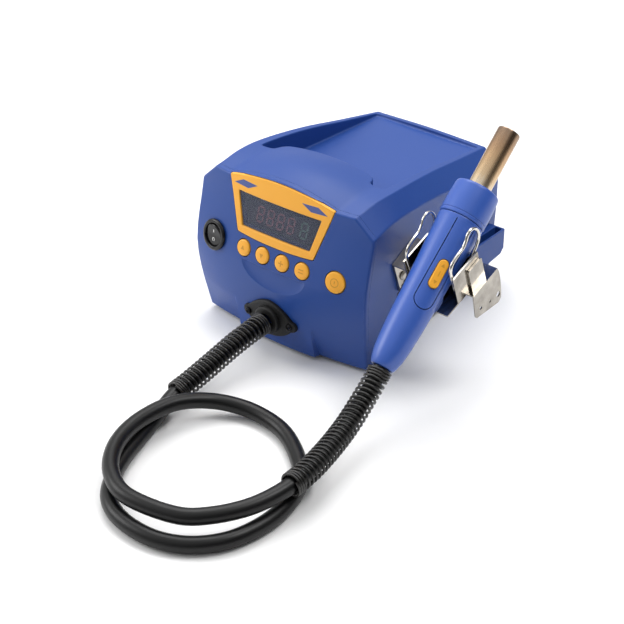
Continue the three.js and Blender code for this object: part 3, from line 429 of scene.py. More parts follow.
def joinSurface(tree, shader, colour, surface, strength, depth):
    bump = addNode(tree, "Bump", {"Height": surface.outputs["Height"], "Strength": strength,
                                  "Distance": depth})
    tree.links.new(colour, shader.inputs["Base Color"])
    tree.links.new(surface.outputs["Roughness"], shader.inputs["Roughness"])
    tree.links.new(bump.outputs["Normal"], shader.inputs["Normal"])


def plastic(name, look):  # moulded plastic and rubber
    material, tree, shader = startMaterial(name)
    # the edge colour and its strength paint a highlight along the edges
    edgeHighlight = placeGroup(tree, edgeHighlightAndDust, {
        "Colour": linear(look["colour"]), "Highlight colour": linear(look["highlightColour"]), "Edge size": look["edge"],
        "Edge highlight": look["edgeHighlight"], "Dust": look["dust"]})
    surface = placeGroup(tree, grain, {
        "Scale": look["grain"], "Roughness": look["roughness"], "Spread": look["spread"]})
    joinSurface(tree, shader, edgeHighlight.outputs["Colour"], surface, look["bump"], 0.0002)
    shader.inputs["Emission Color"].default_value = linear(look["colour"])
    for label, key in (("Specular IOR Level", "specular"), ("Coat Weight", "coat"), ("Alpha", "alpha"),
                       ("Coat Roughness", "coatRoughness"), ("Emission Strength", "glow")):
        shader.inputs[label].default_value = look[key]
    return material


def metal(name, look):  # drawn, ground or rolled metal
    material, tree, shader = startMaterial(name)
    surface = placeGroup(tree, brushed, {
        "Stretch": look["stretch"], "Scale": look["scale"], "Roughness": look["roughness"],
        "Spread": look["spread"], "Colour": linear(look["colour"]), "Dark colour": linear(look["dark"])})
    # a painted highlight along the edges, in the paler edge colour
    edgeHighlight = placeGroup(tree, edgeHighlightAndDust, {
        "Colour": surface.outputs["Colour"], "Highlight colour": linear(look["highlightColour"]), "Edge size": 0.0006,
        "Edge highlight": look["edgeHighlight"], "Dust": 0.0})
    joinSurface(tree, shader, edgeHighlight.outputs["Colour"], surface, look["bump"], 0.0001)
    shader.inputs["Metallic"].default_value = 1.0
    return material


# the paler edge colour and its strength in each look paint a highlight along the piece's edges
plasticBase = dict(edge=0.0005, edgeHighlight=0.3, dust=0.0, grain=2400.0, roughness=0.5, spread=0.08, bump=0.1,
                   specular=0.5, coat=0.0, coatRoughness=0.2, alpha=1.0, glow=0.0)
plastics = {  # what differs from the base
    "housingBlue": dict(slot="housing_blue", colour="#20458f", highlightColour="#6f86c2", edge=0.0009, edgeHighlight=0.32,
                        dust=0.012, roughness=0.4, spread=0.1, bump=0.12, specular=0.36),
    "handleBlue": dict(slot="handle_blue", colour="#3559ad", highlightColour="#869cd8", edge=0.0006, grain=2600.0,
                       roughness=0.34, bump=0.08, specular=0.55),
    "yellowPlastic": dict(slot="yellow_plastic", colour="#f0a92c", highlightColour="#fbd683", edgeHighlight=0.35, dust=0.02,
                          roughness=0.45, spread=0.1),
    "blackPlastic": dict(slot="black_plastic", colour="#101012", highlightColour="#4a4a4c", edgeHighlight=0.35, dust=0.01,
                         grain=2200.0, roughness=0.28, spread=0.1, bump=0.08, specular=0.6),
    "softRubber": dict(slot="soft_rubber", colour="#0a0a0a", highlightColour="#383735", edge=0.0006, edgeHighlight=0.35,
                       dust=0.01, grain=1500.0, roughness=0.58, spread=0.14, bump=0.3, specular=0.4),
    "hoseRubber": dict(slot="hose_rubber", colour="#070708", highlightColour="#3a3a3a", edge=0.0006, edgeHighlight=0.0,
                       dust=0.004, grain=900.0, roughness=0.38, spread=0.12, bump=0.12, specular=0.32),
    "guardBlack": dict(slot="guard_wire", colour="#0f0d0b", highlightColour="#5f564c", edge=0.0004, dust=0.008,
                       grain=1800.0, roughness=0.34, spread=0.2, bump=0.2, specular=0.6),
    "darkPanel": dict(slot="dark_panel", colour="#2b2b30", highlightColour="#5c5c62", edge=0.0006, dust=0.02,
                      grain=1500.0, roughness=0.55, spread=0.12, bump=0.25),
    "boardGreen": dict(colour="#1f6b45", highlightColour="#7fb294", edge=0.0003, edgeHighlight=0.2, dust=0.02, grain=800.0,
                       roughness=0.4, spread=0.1, bump=0.2),
    "ceramicWhite": dict(colour="#d9cfbc", highlightColour="#f3ecdd", edge=0.0004, edgeHighlight=0.2, grain=1300.0,
                         roughness=0.7, spread=0.1, bump=0.3),
    "glossBlack": dict(slot="black_plastic", colour="#0c0c0e", highlightColour="#4a4a4c", edge=0.0004, edgeHighlight=0.25,
                       dust=0.01, grain=2600.0, roughness=0.22, spread=0.06, bump=0.03, specular=0.3,
                       coat=0.08, coatRoughness=0.1),
    # painted light: the digits glow a little, though the display is unlit, so that they show through the
    # smoked pane
    "digitRed": dict(slot="black_plastic", colour="#cc7f84", highlightColour="#c9989a", edge=0.0001, edgeHighlight=0.0,
                     grain=1200.0, spread=0.05, bump=0.02, glow=0.3),
    "digitGreen": dict(slot="black_plastic", colour="#86b09a", highlightColour="#9fb8ae", edge=0.0001, edgeHighlight=0.0,
                       grain=1200.0, spread=0.05, bump=0.02, glow=0.3),
    "smokedGlass": dict(slot="smoked_window", colour="#3c4358", highlightColour="#5c6378", edge=0.0003, edgeHighlight=0.1,
                        dust=0.03, grain=2600.0, roughness=0.12, spread=0.05, bump=0.01, alpha=0.5),
    "markWhite": dict(slot="black_plastic", colour="#e9e9e6", highlightColour="#ffffff", edge=0.0002, edgeHighlight=0.1,
                      spread=0.05, bump=0.05),
    "markBlue": dict(slot="housing_blue", colour="#43538f", highlightColour="#7f8cc0", edge=0.0002, edgeHighlight=0.2,
                     bump=0.05),
    "keyMark": dict(slot="yellow_plastic", colour="#c98a1c", highlightColour="#e8b65a", edge=0.0002, edgeHighlight=0.2,
                    bump=0.05),
}
metalBase = dict(stretch=(1.0, 1.0, 1.0), scale=900.0, roughness=0.4, spread=0.2, bump=0.15, edgeHighlight=0.3)
metals = {
    "holderSteel": dict(slot="holder_steel", colour="#b3ada4", dark="#45413c", highlightColour="#f2eee5",
                        stretch=(1.0, 0.06, 0.06), scale=1500.0, roughness=0.17, bump=0.3, edgeHighlight=0.6),
    "wireSteel": dict(slot="spring_wire", colour="#e3e0da", dark="#bdb8af", highlightColour="#f6f4ef",
                      stretch=(1.0, 1.0, 0.2), scale=1200.0, roughness=0.18, spread=0.1, bump=0.08,
                      edgeHighlight=0.2),
    "innerSteel": dict(slot="inner_steel", colour="#b5b2ac", dark="#8a8782", highlightColour="#e0ddd6"),
    "blackScrew": dict(slot="black_screw", colour="#2a2a2c", dark="#1a1a1b", highlightColour="#77777a", edgeHighlight=0.5),
    "copperWire": dict(colour="#b4703c", dark="#8a5128", highlightColour="#e0a070", stretch=(0.05, 1.0, 1.0),
                       scale=700.0, bump=0.4, edgeHighlight=0.2),
}
materials = {name: plastic(name, {**plasticBase, **look}) for name, look in plastics.items()}
materials.update({name: metal(name, {**metalBase, **look}) for name, look in metals.items()})
print("materials ready")

# hose and its spring guards
hose = {
    "diameter": 11.5, "sides": 28, "step": 2.2, "guardStation": 93, "guardHand": 120, "wire": 1.9,
    "guardDiameter": 17.6, "pitch": 3.9, "closedTurns": 3, "wireSides": 8, "turnSteps": 22, "lastBend": 12,
    "bendFrom": -76, "bendTo": 25,
}
hand = {
    "x": 122.5, "tailY": -139, "tailZ": 48.5, "tilt": 40.8, "turn": 45, "gripLength": 116.5,
    "collarLength": 25.6, "collarRadius": 17, "pipeRadius": 8.5, "pipeWall": 0.8, "pipeReach": 47,
    "pipeInside": 108, "wall": 2.2, "gap": 0.3, "sides": 96,
}
handTilt, handTurn = math.radians(hand["tilt"]), math.radians(hand["turn"])
handAxis = Vector((0, math.cos(handTilt), math.sin(handTilt)))
handUp = Vector((0, -handAxis.z, handAxis.y))
handFacing = Vector((math.sin(handTurn), 0, 0)) + handUp * math.cos(handTurn)
handBasis = (handFacing.cross(handAxis), handFacing, handAxis)
tailPoint = Vector((hand["x"], hand["tailY"], hand["tailZ"])) * mm
heat = {  # straw to brown from the collar to the tip, by share of the pipe's length
    "stops": [(0.3, "#ddd2bf"), (0.55, "#cfb592"), (0.85, "#c0a07c"), (1.1, "#a98a6d"), (1.35, "#907a68")],
    "end": 1.4, "drawn": 0.035,
}


def heatNodes(tree, given):  # heat colours along the pipe, with streaks drawn out along it
    where = addNode(tree, "TexCoord").outputs["Object"]
    across, out, length = [dot(tree, where, tuple(axis)) for axis in handBasis]
    slow = maths(tree, "MULTIPLY", length, heat["drawn"])
    drawn = addNode(tree, "CombineXYZ", {0: across, 1: out, 2: slow}).outputs[0]
    streaks = noise(tree, drawn, 420.0, 5.0, 0.65)
    cloud = noise(tree, where, 90.0, 3.0, 0.5)
    share = maths(tree, "DIVIDE", maths(tree, "SUBTRACT", length, given["Start"]), given["Length"])
    waved = maths(tree, "MULTIPLY_ADD", streaks, 0.5, share)
    shifted = maths(tree, "MULTIPLY_ADD", cloud, 0.25, waved)
    ramp = addNode(tree, "ValToRGB", {0: maths(tree, "MULTIPLY", shifted, 1 / heat["end"])})
    elements = ramp.color_ramp.elements
    while len(elements) < len(heat["stops"]):
        elements.new(0.5)
    for element, (position, colour) in zip(elements, heat["stops"]):
        element.position = position / heat["end"]
        element.color = linear(colour)
    return {"Colour": ramp.outputs["Color"], "Roughness": mapped(tree, streaks, 0.3, 0.7, 0.16, 0.4),
            "Height": streaks}


def heated(name, start):
    material, tree, shader = startMaterial(name)
    group = makeGroup("heatTint", {"Start": 0.0, "Length": 0.047}, heatNodes)
    surface = placeGroup(tree, group, {"Start": start, "Length": hand["pipeReach"] * mm})
    joinSurface(tree, shader, surface.outputs["Colour"], surface, 0.15, 0.0001)
    shader.inputs["Metallic"].default_value = 1.0
    return material


pipeStart = (benchOrigin + tailPoint).dot(handAxis) + (hand["gripLength"] + hand["collarLength"]) * mm
materials["heatedSteel"] = heated("heatedSteel", pipeStart)

# from the gland to the handpiece, in metres from the centre line, the housing's y zero and the bench
hoseRoute = [
    (0, -0.1199, 0.0274), (-0.0006, -0.131, 0.026), (-0.002, -0.15, 0.0226), (-0.003, -0.174, 0.0172),
    (-0.004, -0.197, 0.0124), (-0.0046, -0.212, 0.0096), (-0.002, -0.226, 0.0072), (0.003, -0.242, 0.0061),
    (0.017, -0.285, 0.006), (0.0265, -0.304, 0.006), (0.039, -0.32, 0.006), (0.054, -0.329, 0.006),
    (0.074, -0.333, 0.006), (0.095, -0.331, 0.006), (0.113, -0.322, 0.006), (0.128, -0.304, 0.006),
    (0.135, -0.278, 0.006), (0.134, -0.254, 0.006), (0.128, -0.235, 0.006), (0.118, -0.22, 0.006),
    (0.087, -0.1965, 0.006), (0.067, -0.19, 0.0064), (0.044, -0.191, 0.008), (0.024, -0.203, 0.012),
    (0.011, -0.225, 0.0168), (0.007, -0.255, 0.0184), (0.0115, -0.281, 0.0182), (0.023, -0.301, 0.0182),
    (0.038, -0.3145, 0.0182), (0.058, -0.3225, 0.0182), (0.099, -0.316, 0.0182), (0.114, -0.3035, 0.0184),
    (0.127, -0.283, 0.0188), (0.1335, -0.261, 0.0198), (0.1345, -0.236, 0.0208), (0.131, -0.209, 0.0218),
    (0.1265, -0.182, 0.0254), (0.1234, -0.16, 0.0336),
]


def routeCurve(points, step):  # centripetal curve through the points, then walked in even steps
    points = [points[0] * 2 - points[1], *points, points[-1] * 2 - points[-2]]
    fine = []
    for i in range(1, len(points) - 2):
        p0, p1, p2, p3 = points[i - 1:i + 3]
        t1 = (p1 - p0).length ** 0.5
        t2 = t1 + (p2 - p1).length ** 0.5
        t3 = t2 + (p3 - p2).length ** 0.5
        for k in range(30):
            t = lerp(t1, t2, k / 30)
            a1 = p0.lerp(p1, t / t1)
            a2 = p1.lerp(p2, (t - t1) / (t2 - t1))
            a3 = p2.lerp(p3, (t - t2) / (t3 - t2))
            b1 = a1.lerp(a2, t / t2)
            b2 = a2.lerp(a3, (t - t1) / (t3 - t1))
            fine.append(b1.lerp(b2, (t - t1) / (t2 - t1)))
    fine.append(points[-2])
    lengths = [0.0]
    for a, b in zip(fine, fine[1:]):
        lengths.append(lengths[-1] + (b - a).length)
    total = lengths[-1]
    count = round(total / step)
    even, j = [], 0
    for k in range(count + 1):
        want = total * k / count
        while j < len(lengths) - 2 and lengths[j + 1] < want:
            j += 1
        share = (want - lengths[j]) / (lengths[j + 1] - lengths[j])
        even.append(fine[j].lerp(fine[j + 1], min(1.0, share)))
    return even, total


def hoseLine():
    points = [benchOrigin + Vector(p) for p in hoseRoute]
    tail = benchOrigin + tailPoint
    points += [tail - handAxis * reach * mm for reach in (hose["lastBend"], hand["gap"])]
    return routeCurve(points, hose["step"] * mm)


def coilPoints(line, total, start, end):
    # wire centres of a spring guard between two distances along the hose, with close turns at both ends
    wire, pitch = hose["wire"] * mm, hose["pitch"] * mm
    radius = hose["guardDiameter"] * mm / 2 - wire / 2
    step = 1 / hose["turnSteps"]
    points, at, turn, side = [], start + wire / 2, 0.0, None
    while at < end - wire / 2:
        index = at / total * (len(line) - 1)
        i = min(int(index), len(line) - 2)
        centre = line[i].lerp(line[i + 1], index - i)
        tangent = (line[i + 1] - line[i]).normalized()
        if side is None:
            side = tangent.orthogonal().normalized()
        side = (side - tangent * side.dot(tangent)).normalized()
        up = tangent.cross(side)
        angle = 2 * math.pi * turn
        points.append(centre + (side * math.cos(angle) + up * math.sin(angle)) * radius)
        near = min(at - start, end - at)
        rate = lerp(wire * 1.02, pitch, smooth((near - hose["closedTurns"] * wire) / (2 * wire)))
        at += rate * step
        turn += step
    return points


def buildHose():
    line, total = hoseLine()
    tube = sweep("hose_tube", line, hose["diameter"] / 2 * mm, hose["sides"])
    pieces = [(tube, "hose", "hoseRubber")]
    spans = {
        "station": (0.0, hose["guardStation"] * mm),
        "handpiece": (total - hose["guardHand"] * mm, total),
    }
    for name, span in spans.items():
        wire = coilPoints(line, total, *span)
        guard = sweep("guard_spring_" + name, wire, hose["wire"] / 2 * mm, hose["wireSides"])
        pieces.append((guard, "guard_" + name, "guardBlack"))
    for item, node, finish in pieces:
        item.data.materials.append(materials[finish])
        item.data.shade_smooth()
        item.data.set_sharp_from_angle(angle=math.radians(50))
        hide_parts(node)
        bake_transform(item)
    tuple(line[0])
    [item for item, _, _ in pieces[1:]]
    print(f"hose {total:.3f} m")


buildHose()


# housing surfaces
rimInsetLine = [(housing["foreY"], 14.6), (housing["frontEdgeY"], 15), (-45, 11), (housing["rearY"], 14)]
rimHeightLine = [(housing["foreY"], 120), (housing["frontEdgeY"], 122), (-70, 125), (-40, 124),
                 (0, 119.5), (40, 112.5), (housing["rearY"], 105)]
domeLine = [(housing["foreY"], housing["domeRise"] + 0.5), (housing["frontEdgeY"], housing["domeRise"]),
            (-62, 5.5), (-40, 2.5), (-20, 0)]
frontMiddle = [(-6, -106), (0, -107), (25, -111.4), (60, -112), (80, -107.6), (131, -98), (150, -94)]
frontEdge = [(-6, -92), (0, -93.5), (57, -103.3), (108, -94), (122, -93), (150, -91)]


def sideHalfWidth(y):
    share = (y - housing["frontEdgeY"]) / (housing["rearY"] - housing["frontEdgeY"])
    return lerp(housing["frontHalfWidth"], housing["rearHalfWidth"], share)


def rimZ(y):
    return along(rimHeightLine, y)


def topZ(x, y):
    across = min(1, abs(x) / housing["domeHalfWidth"])
    return rimZ(y) + 1.2 * (1 - smooth(abs(x) / 65)) + along(domeLine, y) * (1 - across * across)


def frontY(x, z):
    across = min(1.1, abs(x) / housing["frontHalfWidth"])
    depth = max(0, 1 - max(z, 0) / housing["ridgeTopZ"])
    swept = housing["ridgeStep"] * depth * smooth((abs(x) - housing["ridgeX"]) / 1.4)
    middle = along(frontMiddle, z) + swept
    return middle + (along(frontEdge, z) - middle) * across ** 2.5


def frontNormal(x, z, step=1.5):
    dx = (frontY(x + step, z) - frontY(x - step, z)) / (2 * step)
    dz = (frontY(x, z + step) - frontY(x, z - step)) / (2 * step)
    return Vector((dx, -1, dz)).normalized()


def onFront(x, z, offset=0.0):
    return Vector((x, frontY(x, z) + offset, z))


def sectionSteps(topCount):
    # the right half of the housing's section as (part, share), from the top's middle to the bottom edge
    steps = [("top", k / topCount) for k in range(topCount)]
    steps += [("rim", k / 5) for k in range(6)]
    steps += [("knee", k / 5) for k in range(6)]
    steps += [("side", k / 9) for k in range(1, 10)]
    return steps


def sectionPoint(step, y, inset, low):
    part, share = step
    corner = inset * math.tan(math.radians(22.5))
    side = sideHalfWidth(y)
    rimX = side - along(rimInsetLine, y) - corner
    rim = Vector((rimX, topZ(rimX, y) - inset))
    knee = Vector((side - inset, rimZ(y) - housing["chamferHeight"] - corner))
    rimReach, kneeReach = housing["rimRadius"] * 0.41, housing["kneeRadius"] * 0.41
    flatX = rimX - rimReach
    if part == "top":
        return share * flatX, topZ(share * flatX, y) - inset
    facet = (knee - rim).normalized()
    if part == "rim":
        return bent(Vector((flatX, topZ(flatX, y) - inset)), rim, rim + facet * rimReach, share)
    if part == "knee":
        return bent(knee - facet * kneeReach, knee, knee - Vector((0, kneeReach)), share)
    z = lerp(knee.y - kneeReach, low, share)
    tucked = max(0, housing["tuckZ"] - z) / (housing["tuckZ"] - low)
    return side - inset - housing["tuck"] * tucked ** 1.3, z


def sectionLoop(y, inset=0, low=0, topCount=22):  # y is a number, or ("front", depth behind the front face)
    right = []
    for step in sectionSteps(topCount):
        if isinstance(y, tuple):
            at = -100.0
            for _ in range(3):
                x, z = sectionPoint(step, at, inset, low)
                at = frontY(x, z) + y[1]
        else:
            at = y
        x, z = sectionPoint(step, at, inset, low)
        right.append(Vector((x, at, z)))
    return right + [Vector((-p.x, p.y, p.z)) for p in reversed(right[1:])]


def evenStations(start, end, step):
    count = max(1, round((end - start) / step))
    return [lerp(start, end, k / count) for k in range(count + 1)]


def frontSlab(name, offset, step=2.4):  # everything behind the front face moved back by offset
    ridge = housing["ridgeX"]
    near = [ridge, ridge + 0.35, ridge + 0.7, ridge + 1.05, ridge + 1.4]
    half = [k * ridge / 15 for k in range(15)] + near + [lerp(near[-1], 90, k / 22) for k in range(1, 23)]
    columns = [-x for x in reversed(half[1:])] + half
    rows = [-6, -3] + [k * housing["ridgeTopZ"] / 12 for k in range(12)]
    rows += evenStations(housing["ridgeTopZ"], 150, step)
    count = len(columns)
    verts = [onFront(x, z, offset) for z in rows for x in columns]
    faces = gridFaces(len(rows), count, closed=False)
    rim = list(range(count)) + [(j + 1) * count - 1 for j in range(1, len(rows))]
    rim += [(len(rows) - 1) * count + i for i in range(count - 2, -1, -1)]
    rim += [j * count for j in range(len(rows) - 2, 0, -1)]
    base, total = len(verts), len(rim)
    verts += [Vector((verts[i].x, beyond, verts[i].z)) for i in rim]
    faces += [(rim[(k + 1) % total], rim[k], base + k, base + (k + 1) % total) for k in range(total)]
    faces.append(tuple(range(base, base + total)))
    return solid(name, verts, faces)


print("surfaces ready")

# tray
tray = {
    "floorZ": 103.8, "tongueHalfWidth": 44, "lip": 5, "tongueY": -42, "shoulderY": -53, "corner": 1.6,
    "soft": 3.0,
}
trayRimLine = [(-60, 8), (0, 6), (housing["rearY"], 3.5)]


def trayHalfWidth(y):
    return sideHalfWidth(y) - along(rimInsetLine, y) - along(trayRimLine, y)


def trayOutline(grow, perSide=24):  # plan of the recess, moved outwards by grow
    tongueY, shoulderY = tray["tongueY"] - grow, tray["shoulderY"] - grow
    backY = housing["rearY"] - tray["lip"] + grow
    tongue, soft = tray["tongueHalfWidth"] - grow, tray["soft"]
    low, high = shoulderY + soft, backY - soft
    right, end = trayHalfWidth(shoulderY) + grow, trayHalfWidth(backY) + grow
    points = cubic((-tongue, low), (-tongue + 2, tongueY - 1), (-tongue + 6, tongueY),
                   (-tongue + 14, tongueY + 1), 12)
    points += cubic((-tongue + 14, tongueY + 1), (-14, tongueY + 3), (14, tongueY + 3),
                    (tongue - 14, tongueY + 1), 20)
    points += cubic((tongue - 14, tongueY + 1), (tongue - 6, tongueY), (tongue - 2, tongueY - 1),
                    (tongue, low), 12)
    points += quadratic((tongue, low), (tongue + 0.4, shoulderY), (tongue + 3.5, shoulderY), 5)
    points += quadratic((tongue + 3.5, shoulderY), (right - soft / 2, shoulderY),
                        (right - soft, shoulderY), 4)
    points += quadratic((right - soft, shoulderY), (right, shoulderY), (trayHalfWidth(low) + grow, low), 5)
    sides = [lerp(low, high, k / perSide) for k in range(perSide)]
    points += [(trayHalfWidth(y) + grow, y) for y in sides]
    points += quadratic((trayHalfWidth(high) + grow, high), (end, backY), (end - soft, backY), 5)
    half = [p for p in points if p[0] >= -1e-6]
    mirrored = [(-x, y) for x, y in reversed(half) if x > 1e-6]
    back = [(lerp(end - soft, -(end - soft), k / 16), backY) for k in range(17)]
    front = [p for p in half if abs(p[0]) < 1e-6]
    return half[len(front):] + back + mirrored + front


def trayCutter(r=tray["corner"]):
    floorZ = tray["floorZ"]
    loops = []
    for k in range(5):
        a = math.radians(90 * k / 4)
        z = floorZ + r * (1 - math.cos(a))
        loops.append([Vector((x, y, z)) for x, y in trayOutline(-r * (1 - math.sin(a)))])
    for down, grow in [(1.1, 0.0), (0.5, 0.12), (0.15, 0.42), (-0.4, 1.2)]:
        outline = trayOutline(grow)
        loops.append([Vector((x, y, max(floorZ + r + 0.05, topZ(x, y) - down))) for x, y in outline])
    loops.append([Vector((p.x, p.y, beyond)) for p in loops[-1]])
    return loft("tray", loops)


# hood
def interior():  # the room inside the hood, around the tray's underside
    wall, rearY = housing["wall"], housing["rearY"]
    floorZ = tray["floorZ"] - wall
    depths = evenStations(housing["foreY"], rearY + 10, 14)
    cavity = loft("cavity", [sectionLoop(y, wall, -5, 8) for y in depths])
    under = loft("under", [[Vector((x, y, z)) for x, y in trayOutline(wall, 8)] for z in (floorZ, beyond)])
    pastBack = block("pastBack", -60, 60, rearY - tray["lip"], rearY + 20, floorZ, beyond)
    return combined(cavity, *cuts([under, pastBack]))


def buildHood():
    rearY = housing["rearY"]
    loops = [sectionLoop(y) for y in evenStations(housing["foreY"], rearY - 0.9, 4.2)]
    loops += [sectionLoop(rearY - 0.35, 0.12), sectionLoop(rearY, 0.5)]
    shell = loft("hood_shell", loops)
    behind = frontSlab("behind", housing["fasciaWall"] + housing["gap"], step=6)
    combined(shell, *cuts([interior(), trayCutter()]), ("INTERSECT", behind))
    settle(shell, "housingBlue", "hood")
    print("hood", len(shell.data.polygons))


buildHood()

# front panel
front = {
    "edge": 1.6, "pocket": 2.0, "windowWall": 1.5, "clearance": 0.75, "travel": 1.2, "stem": 10,
    "keyZ": 71.8, "keyXs": (-27.5, -9.2, 9.2, 27.5), "keyRadius": 6.25, "startX": 56, "startRadius": 8,
    "switchX": -58.3, "switchZ": 71, "barrel": 10.1, "glandY": -112, "glandZ": 23.5, "hoseHole": 7.25,
    "screwX": 19.5, "screwHole": 1.6, "scoop": (1.5, 64, 30, 17.5), "bezelBack": 1.7, "bezelFace": -0.4,
}


def stack(outline, levels):  # layers of (outline, offset) from levels of (inset, offset)
    return [(outline(inset), offset) for inset, offset in levels]


def frontPuck(name, layers, rings=8):  # a flat body on the front face, from layers of (outline, offset)
    last = layers[-1][0]
    middle = [sum(p[i] for p in last) / len(last) for i in (0, 1)]

    def ring(layer, share):
        outline, offset = layer
        return [onFront(lerp(middle[0], x, share), lerp(middle[1], z, share), offset) for x, z in outline]

    loops = [ring(layers[0], k / rings) for k in range(1, rings)]
    loops += [ring(layer, 1) for layer in layers]
    loops += [ring(layers[-1], k / rings) for k in range(rings - 1, 0, -1)]
    return loft(name, loops)


def fourSided(low, top, dip, rise, radius):  # outline with arched top and bottom edges and soft corners
    (lowX, lowZ), (highX, highZ) = low, top
    middleX, middleZ = (lowX + highX) / 2, (lowZ + highZ) / 2
    points = quadratic((-lowX, lowZ), (0, lowZ + 2 * dip), (lowX, lowZ), 20)
    points += quadratic((lowX, lowZ), (middleX, middleZ), (highX, highZ), 6)
    points += quadratic((highX, highZ), (0, highZ + 2 * rise), (-highX, highZ), 24)
    points += quadratic((-highX, highZ), (-middleX, middleZ), (-lowX, lowZ), 6)
    return rounded(points, {0: radius, 20: radius, 26: radius, 50: radius}, 4)


def bezelOutline(inset):
    return fourSided((35.5 - inset * 0.8, 82.3 + inset), (48.5 - inset * 1.1, 122 - inset), -1.6, 6.2, 1.3)


def windowOutline(inset):
    return fourSided((31.5 - inset, 87.5 + inset), (38.5 - inset, 112.5 - inset), 0, 0, 1.0)


def scoopOutline(inset):
    x, z, wide, high = front["scoop"]
    turns = [math.pi + math.pi * k / 40 for k in range(41)]
    curve = [(x + (wide - inset) * math.cos(a), z + (high - inset) * math.sin(a)) for a in turns]
    lid = [(lerp(curve[-1][0], curve[0][0], k / 12), z) for k in range(1, 12)]
    return [(px, pz - min(inset, 0.6) if pz > z - 0.01 else pz) for px, pz in curve + lid]


def frontSeat(x, z):
    return aimedFrame(onFront(x, z), frontNormal(x, z))


def holeCutter(radius, place, lip=0.2, depth=12):
    profile = [(0, -depth), (radius, -depth), (radius, -lip), (radius + lip * 0.3, -lip * 0.3),
               (radius + lip, lip * 0.2), (radius + lip, 6), (0, 6)]
    return turned("hole", profile, 64, place)


def alongY(x):  # +z forwards from the gland's plate, at the height of the hose
    place = Matrix.Rotation(math.radians(90), 4, "X")
    place.translation = Vector((x, front["glandY"], front["glandZ"]))
    return place


def screwHoles():
    return [holeCutter(front["screwHole"], alongY(side * front["screwX"]), 0.1, 20) for side in (-1, 1)]


def buildFascia():
    r = front["edge"]
    edge = [(0, 0.85 * r), (0.1 * r, 0.5 * r), (0.3 * r, 0.24 * r), (0.6 * r, 0.08 * r), (r, 0), (6, 0)]
    loops = [sectionLoop(-125, 0.85 * r)] + [sectionLoop(("front", depth), inset) for depth, inset in edge]
    panel = loft("front_shell", loops + [sectionLoop(-60)])
    pocket = stack(bezelOutline, [(-0.55, front["pocket"]), (-0.55, 0.2), (-0.62, 0.05), (-0.85, -0.05),
                                  (-0.95, -4)])
    through = stack(windowOutline, [(front["windowWall"], 9), (front["windowWall"], -4)])
    scoop = stack(scoopOutline, [(12, 1.75), (9, 1.65), (6.2, 1.45), (4, 1.15), (2.2, 0.75), (0.9, 0.3),
                                 (0.3, 0.02), (0, -0.08), (-0.1, -4)])
    tools = [frontSlab("back", housing["fasciaWall"]), frontPuck("pocket", pocket),
             frontPuck("through", through), frontPuck("scoop", scoop, 10)]
    gap, keyZ = front["clearance"], front["keyZ"]
    openings = [(x, keyZ, front["keyRadius"] + gap) for x in front["keyXs"]]
    openings += [(front["startX"], keyZ, front["startRadius"] + gap),
                 (front["switchX"], front["switchZ"], front["barrel"] + housing["gap"])]
    tools += [holeCutter(radius, frontSeat(x, z)) for x, z, radius in openings]
    tools += [holeCutter(front["hoseHole"], alongY(0), depth=20), *screwHoles()]
    combined(panel, ("INTERSECT", frontSlab("face", 0, step=2.0)), *cuts(tools))
    settle(panel, "housingBlue", "front_fascia", angle=28)
    print("front panel", len(panel.data.polygons))


def mixed(a, b, share):
    return [(lerp(p[0], q[0], share), lerp(p[1], q[1], share)) for p, q in zip(a, b)]


def buildBezel():
    back, face = front["bezelBack"], front["bezelFace"]
    outer = stack(bezelOutline, [(0, back), (0, 0.05), (0.1, -0.22), (0.35, -0.37), (0.8, face)])
    inner = stack(windowOutline, [(-0.9, face), (-0.5, -0.32), (-0.15, -0.05), (0, 0.3), (0, back)])
    across = [(mixed(outer[-1][0], inner[0][0], k / 5), face) for k in range(1, 5)]
    behind = [(mixed(inner[-1][0], outer[0][0], k / 3), back) for k in (1, 2)]
    layers = outer + across + inner + behind
    loops = [[onFront(x, z, offset) for x, z in outline] for outline, offset in layers]
    settle(ringSolid("bezel_ring", loops), "yellowPlastic", "display_bezel")
    mark = [(-43.4, 117.3), (-34.8, 121.6), (-20.6, 120.9), (-29.2, 116.6)]
    for side, name in ((-1, "right"), (1, "left")):
        points = perimeter([(-side * x, z) for x, z in mark], 6)
        settle(frontPuck(f"bezel_mark_{name}", [(points, -0.3), (points, -0.43)], 3), "markBlue")


display = {
    "box": (-28, 28, 91, 109), "front": 2.3, "back": 12, "digitXs": (-20.5, -11.0, -1.5, 8.0, 20.0),
    "z": 94.0, "wide": 5.4, "high": 11.5, "thick": 1.3, "lean": 0.12, "raised": 0.25,
}


def segmentShapes(x):  # the seven bars of one digit as corner lists
    t, half, z = display["thick"] / 2, display["high"] / 2, display["z"]
    bars = []
    for level in (z, z + half, z + 2 * half):
        bars.append(rectangle(x + t, x + display["wide"] - t, level - t * 0.9, level + t * 0.9))
    for level in (0, 1):
        low, high = z + level * half + t, z + (level + 1) * half - t
        bars += [rectangle(px - t * 0.9, px + t * 0.9, low, high) for px in (x, x + display["wide"])]
    return bars


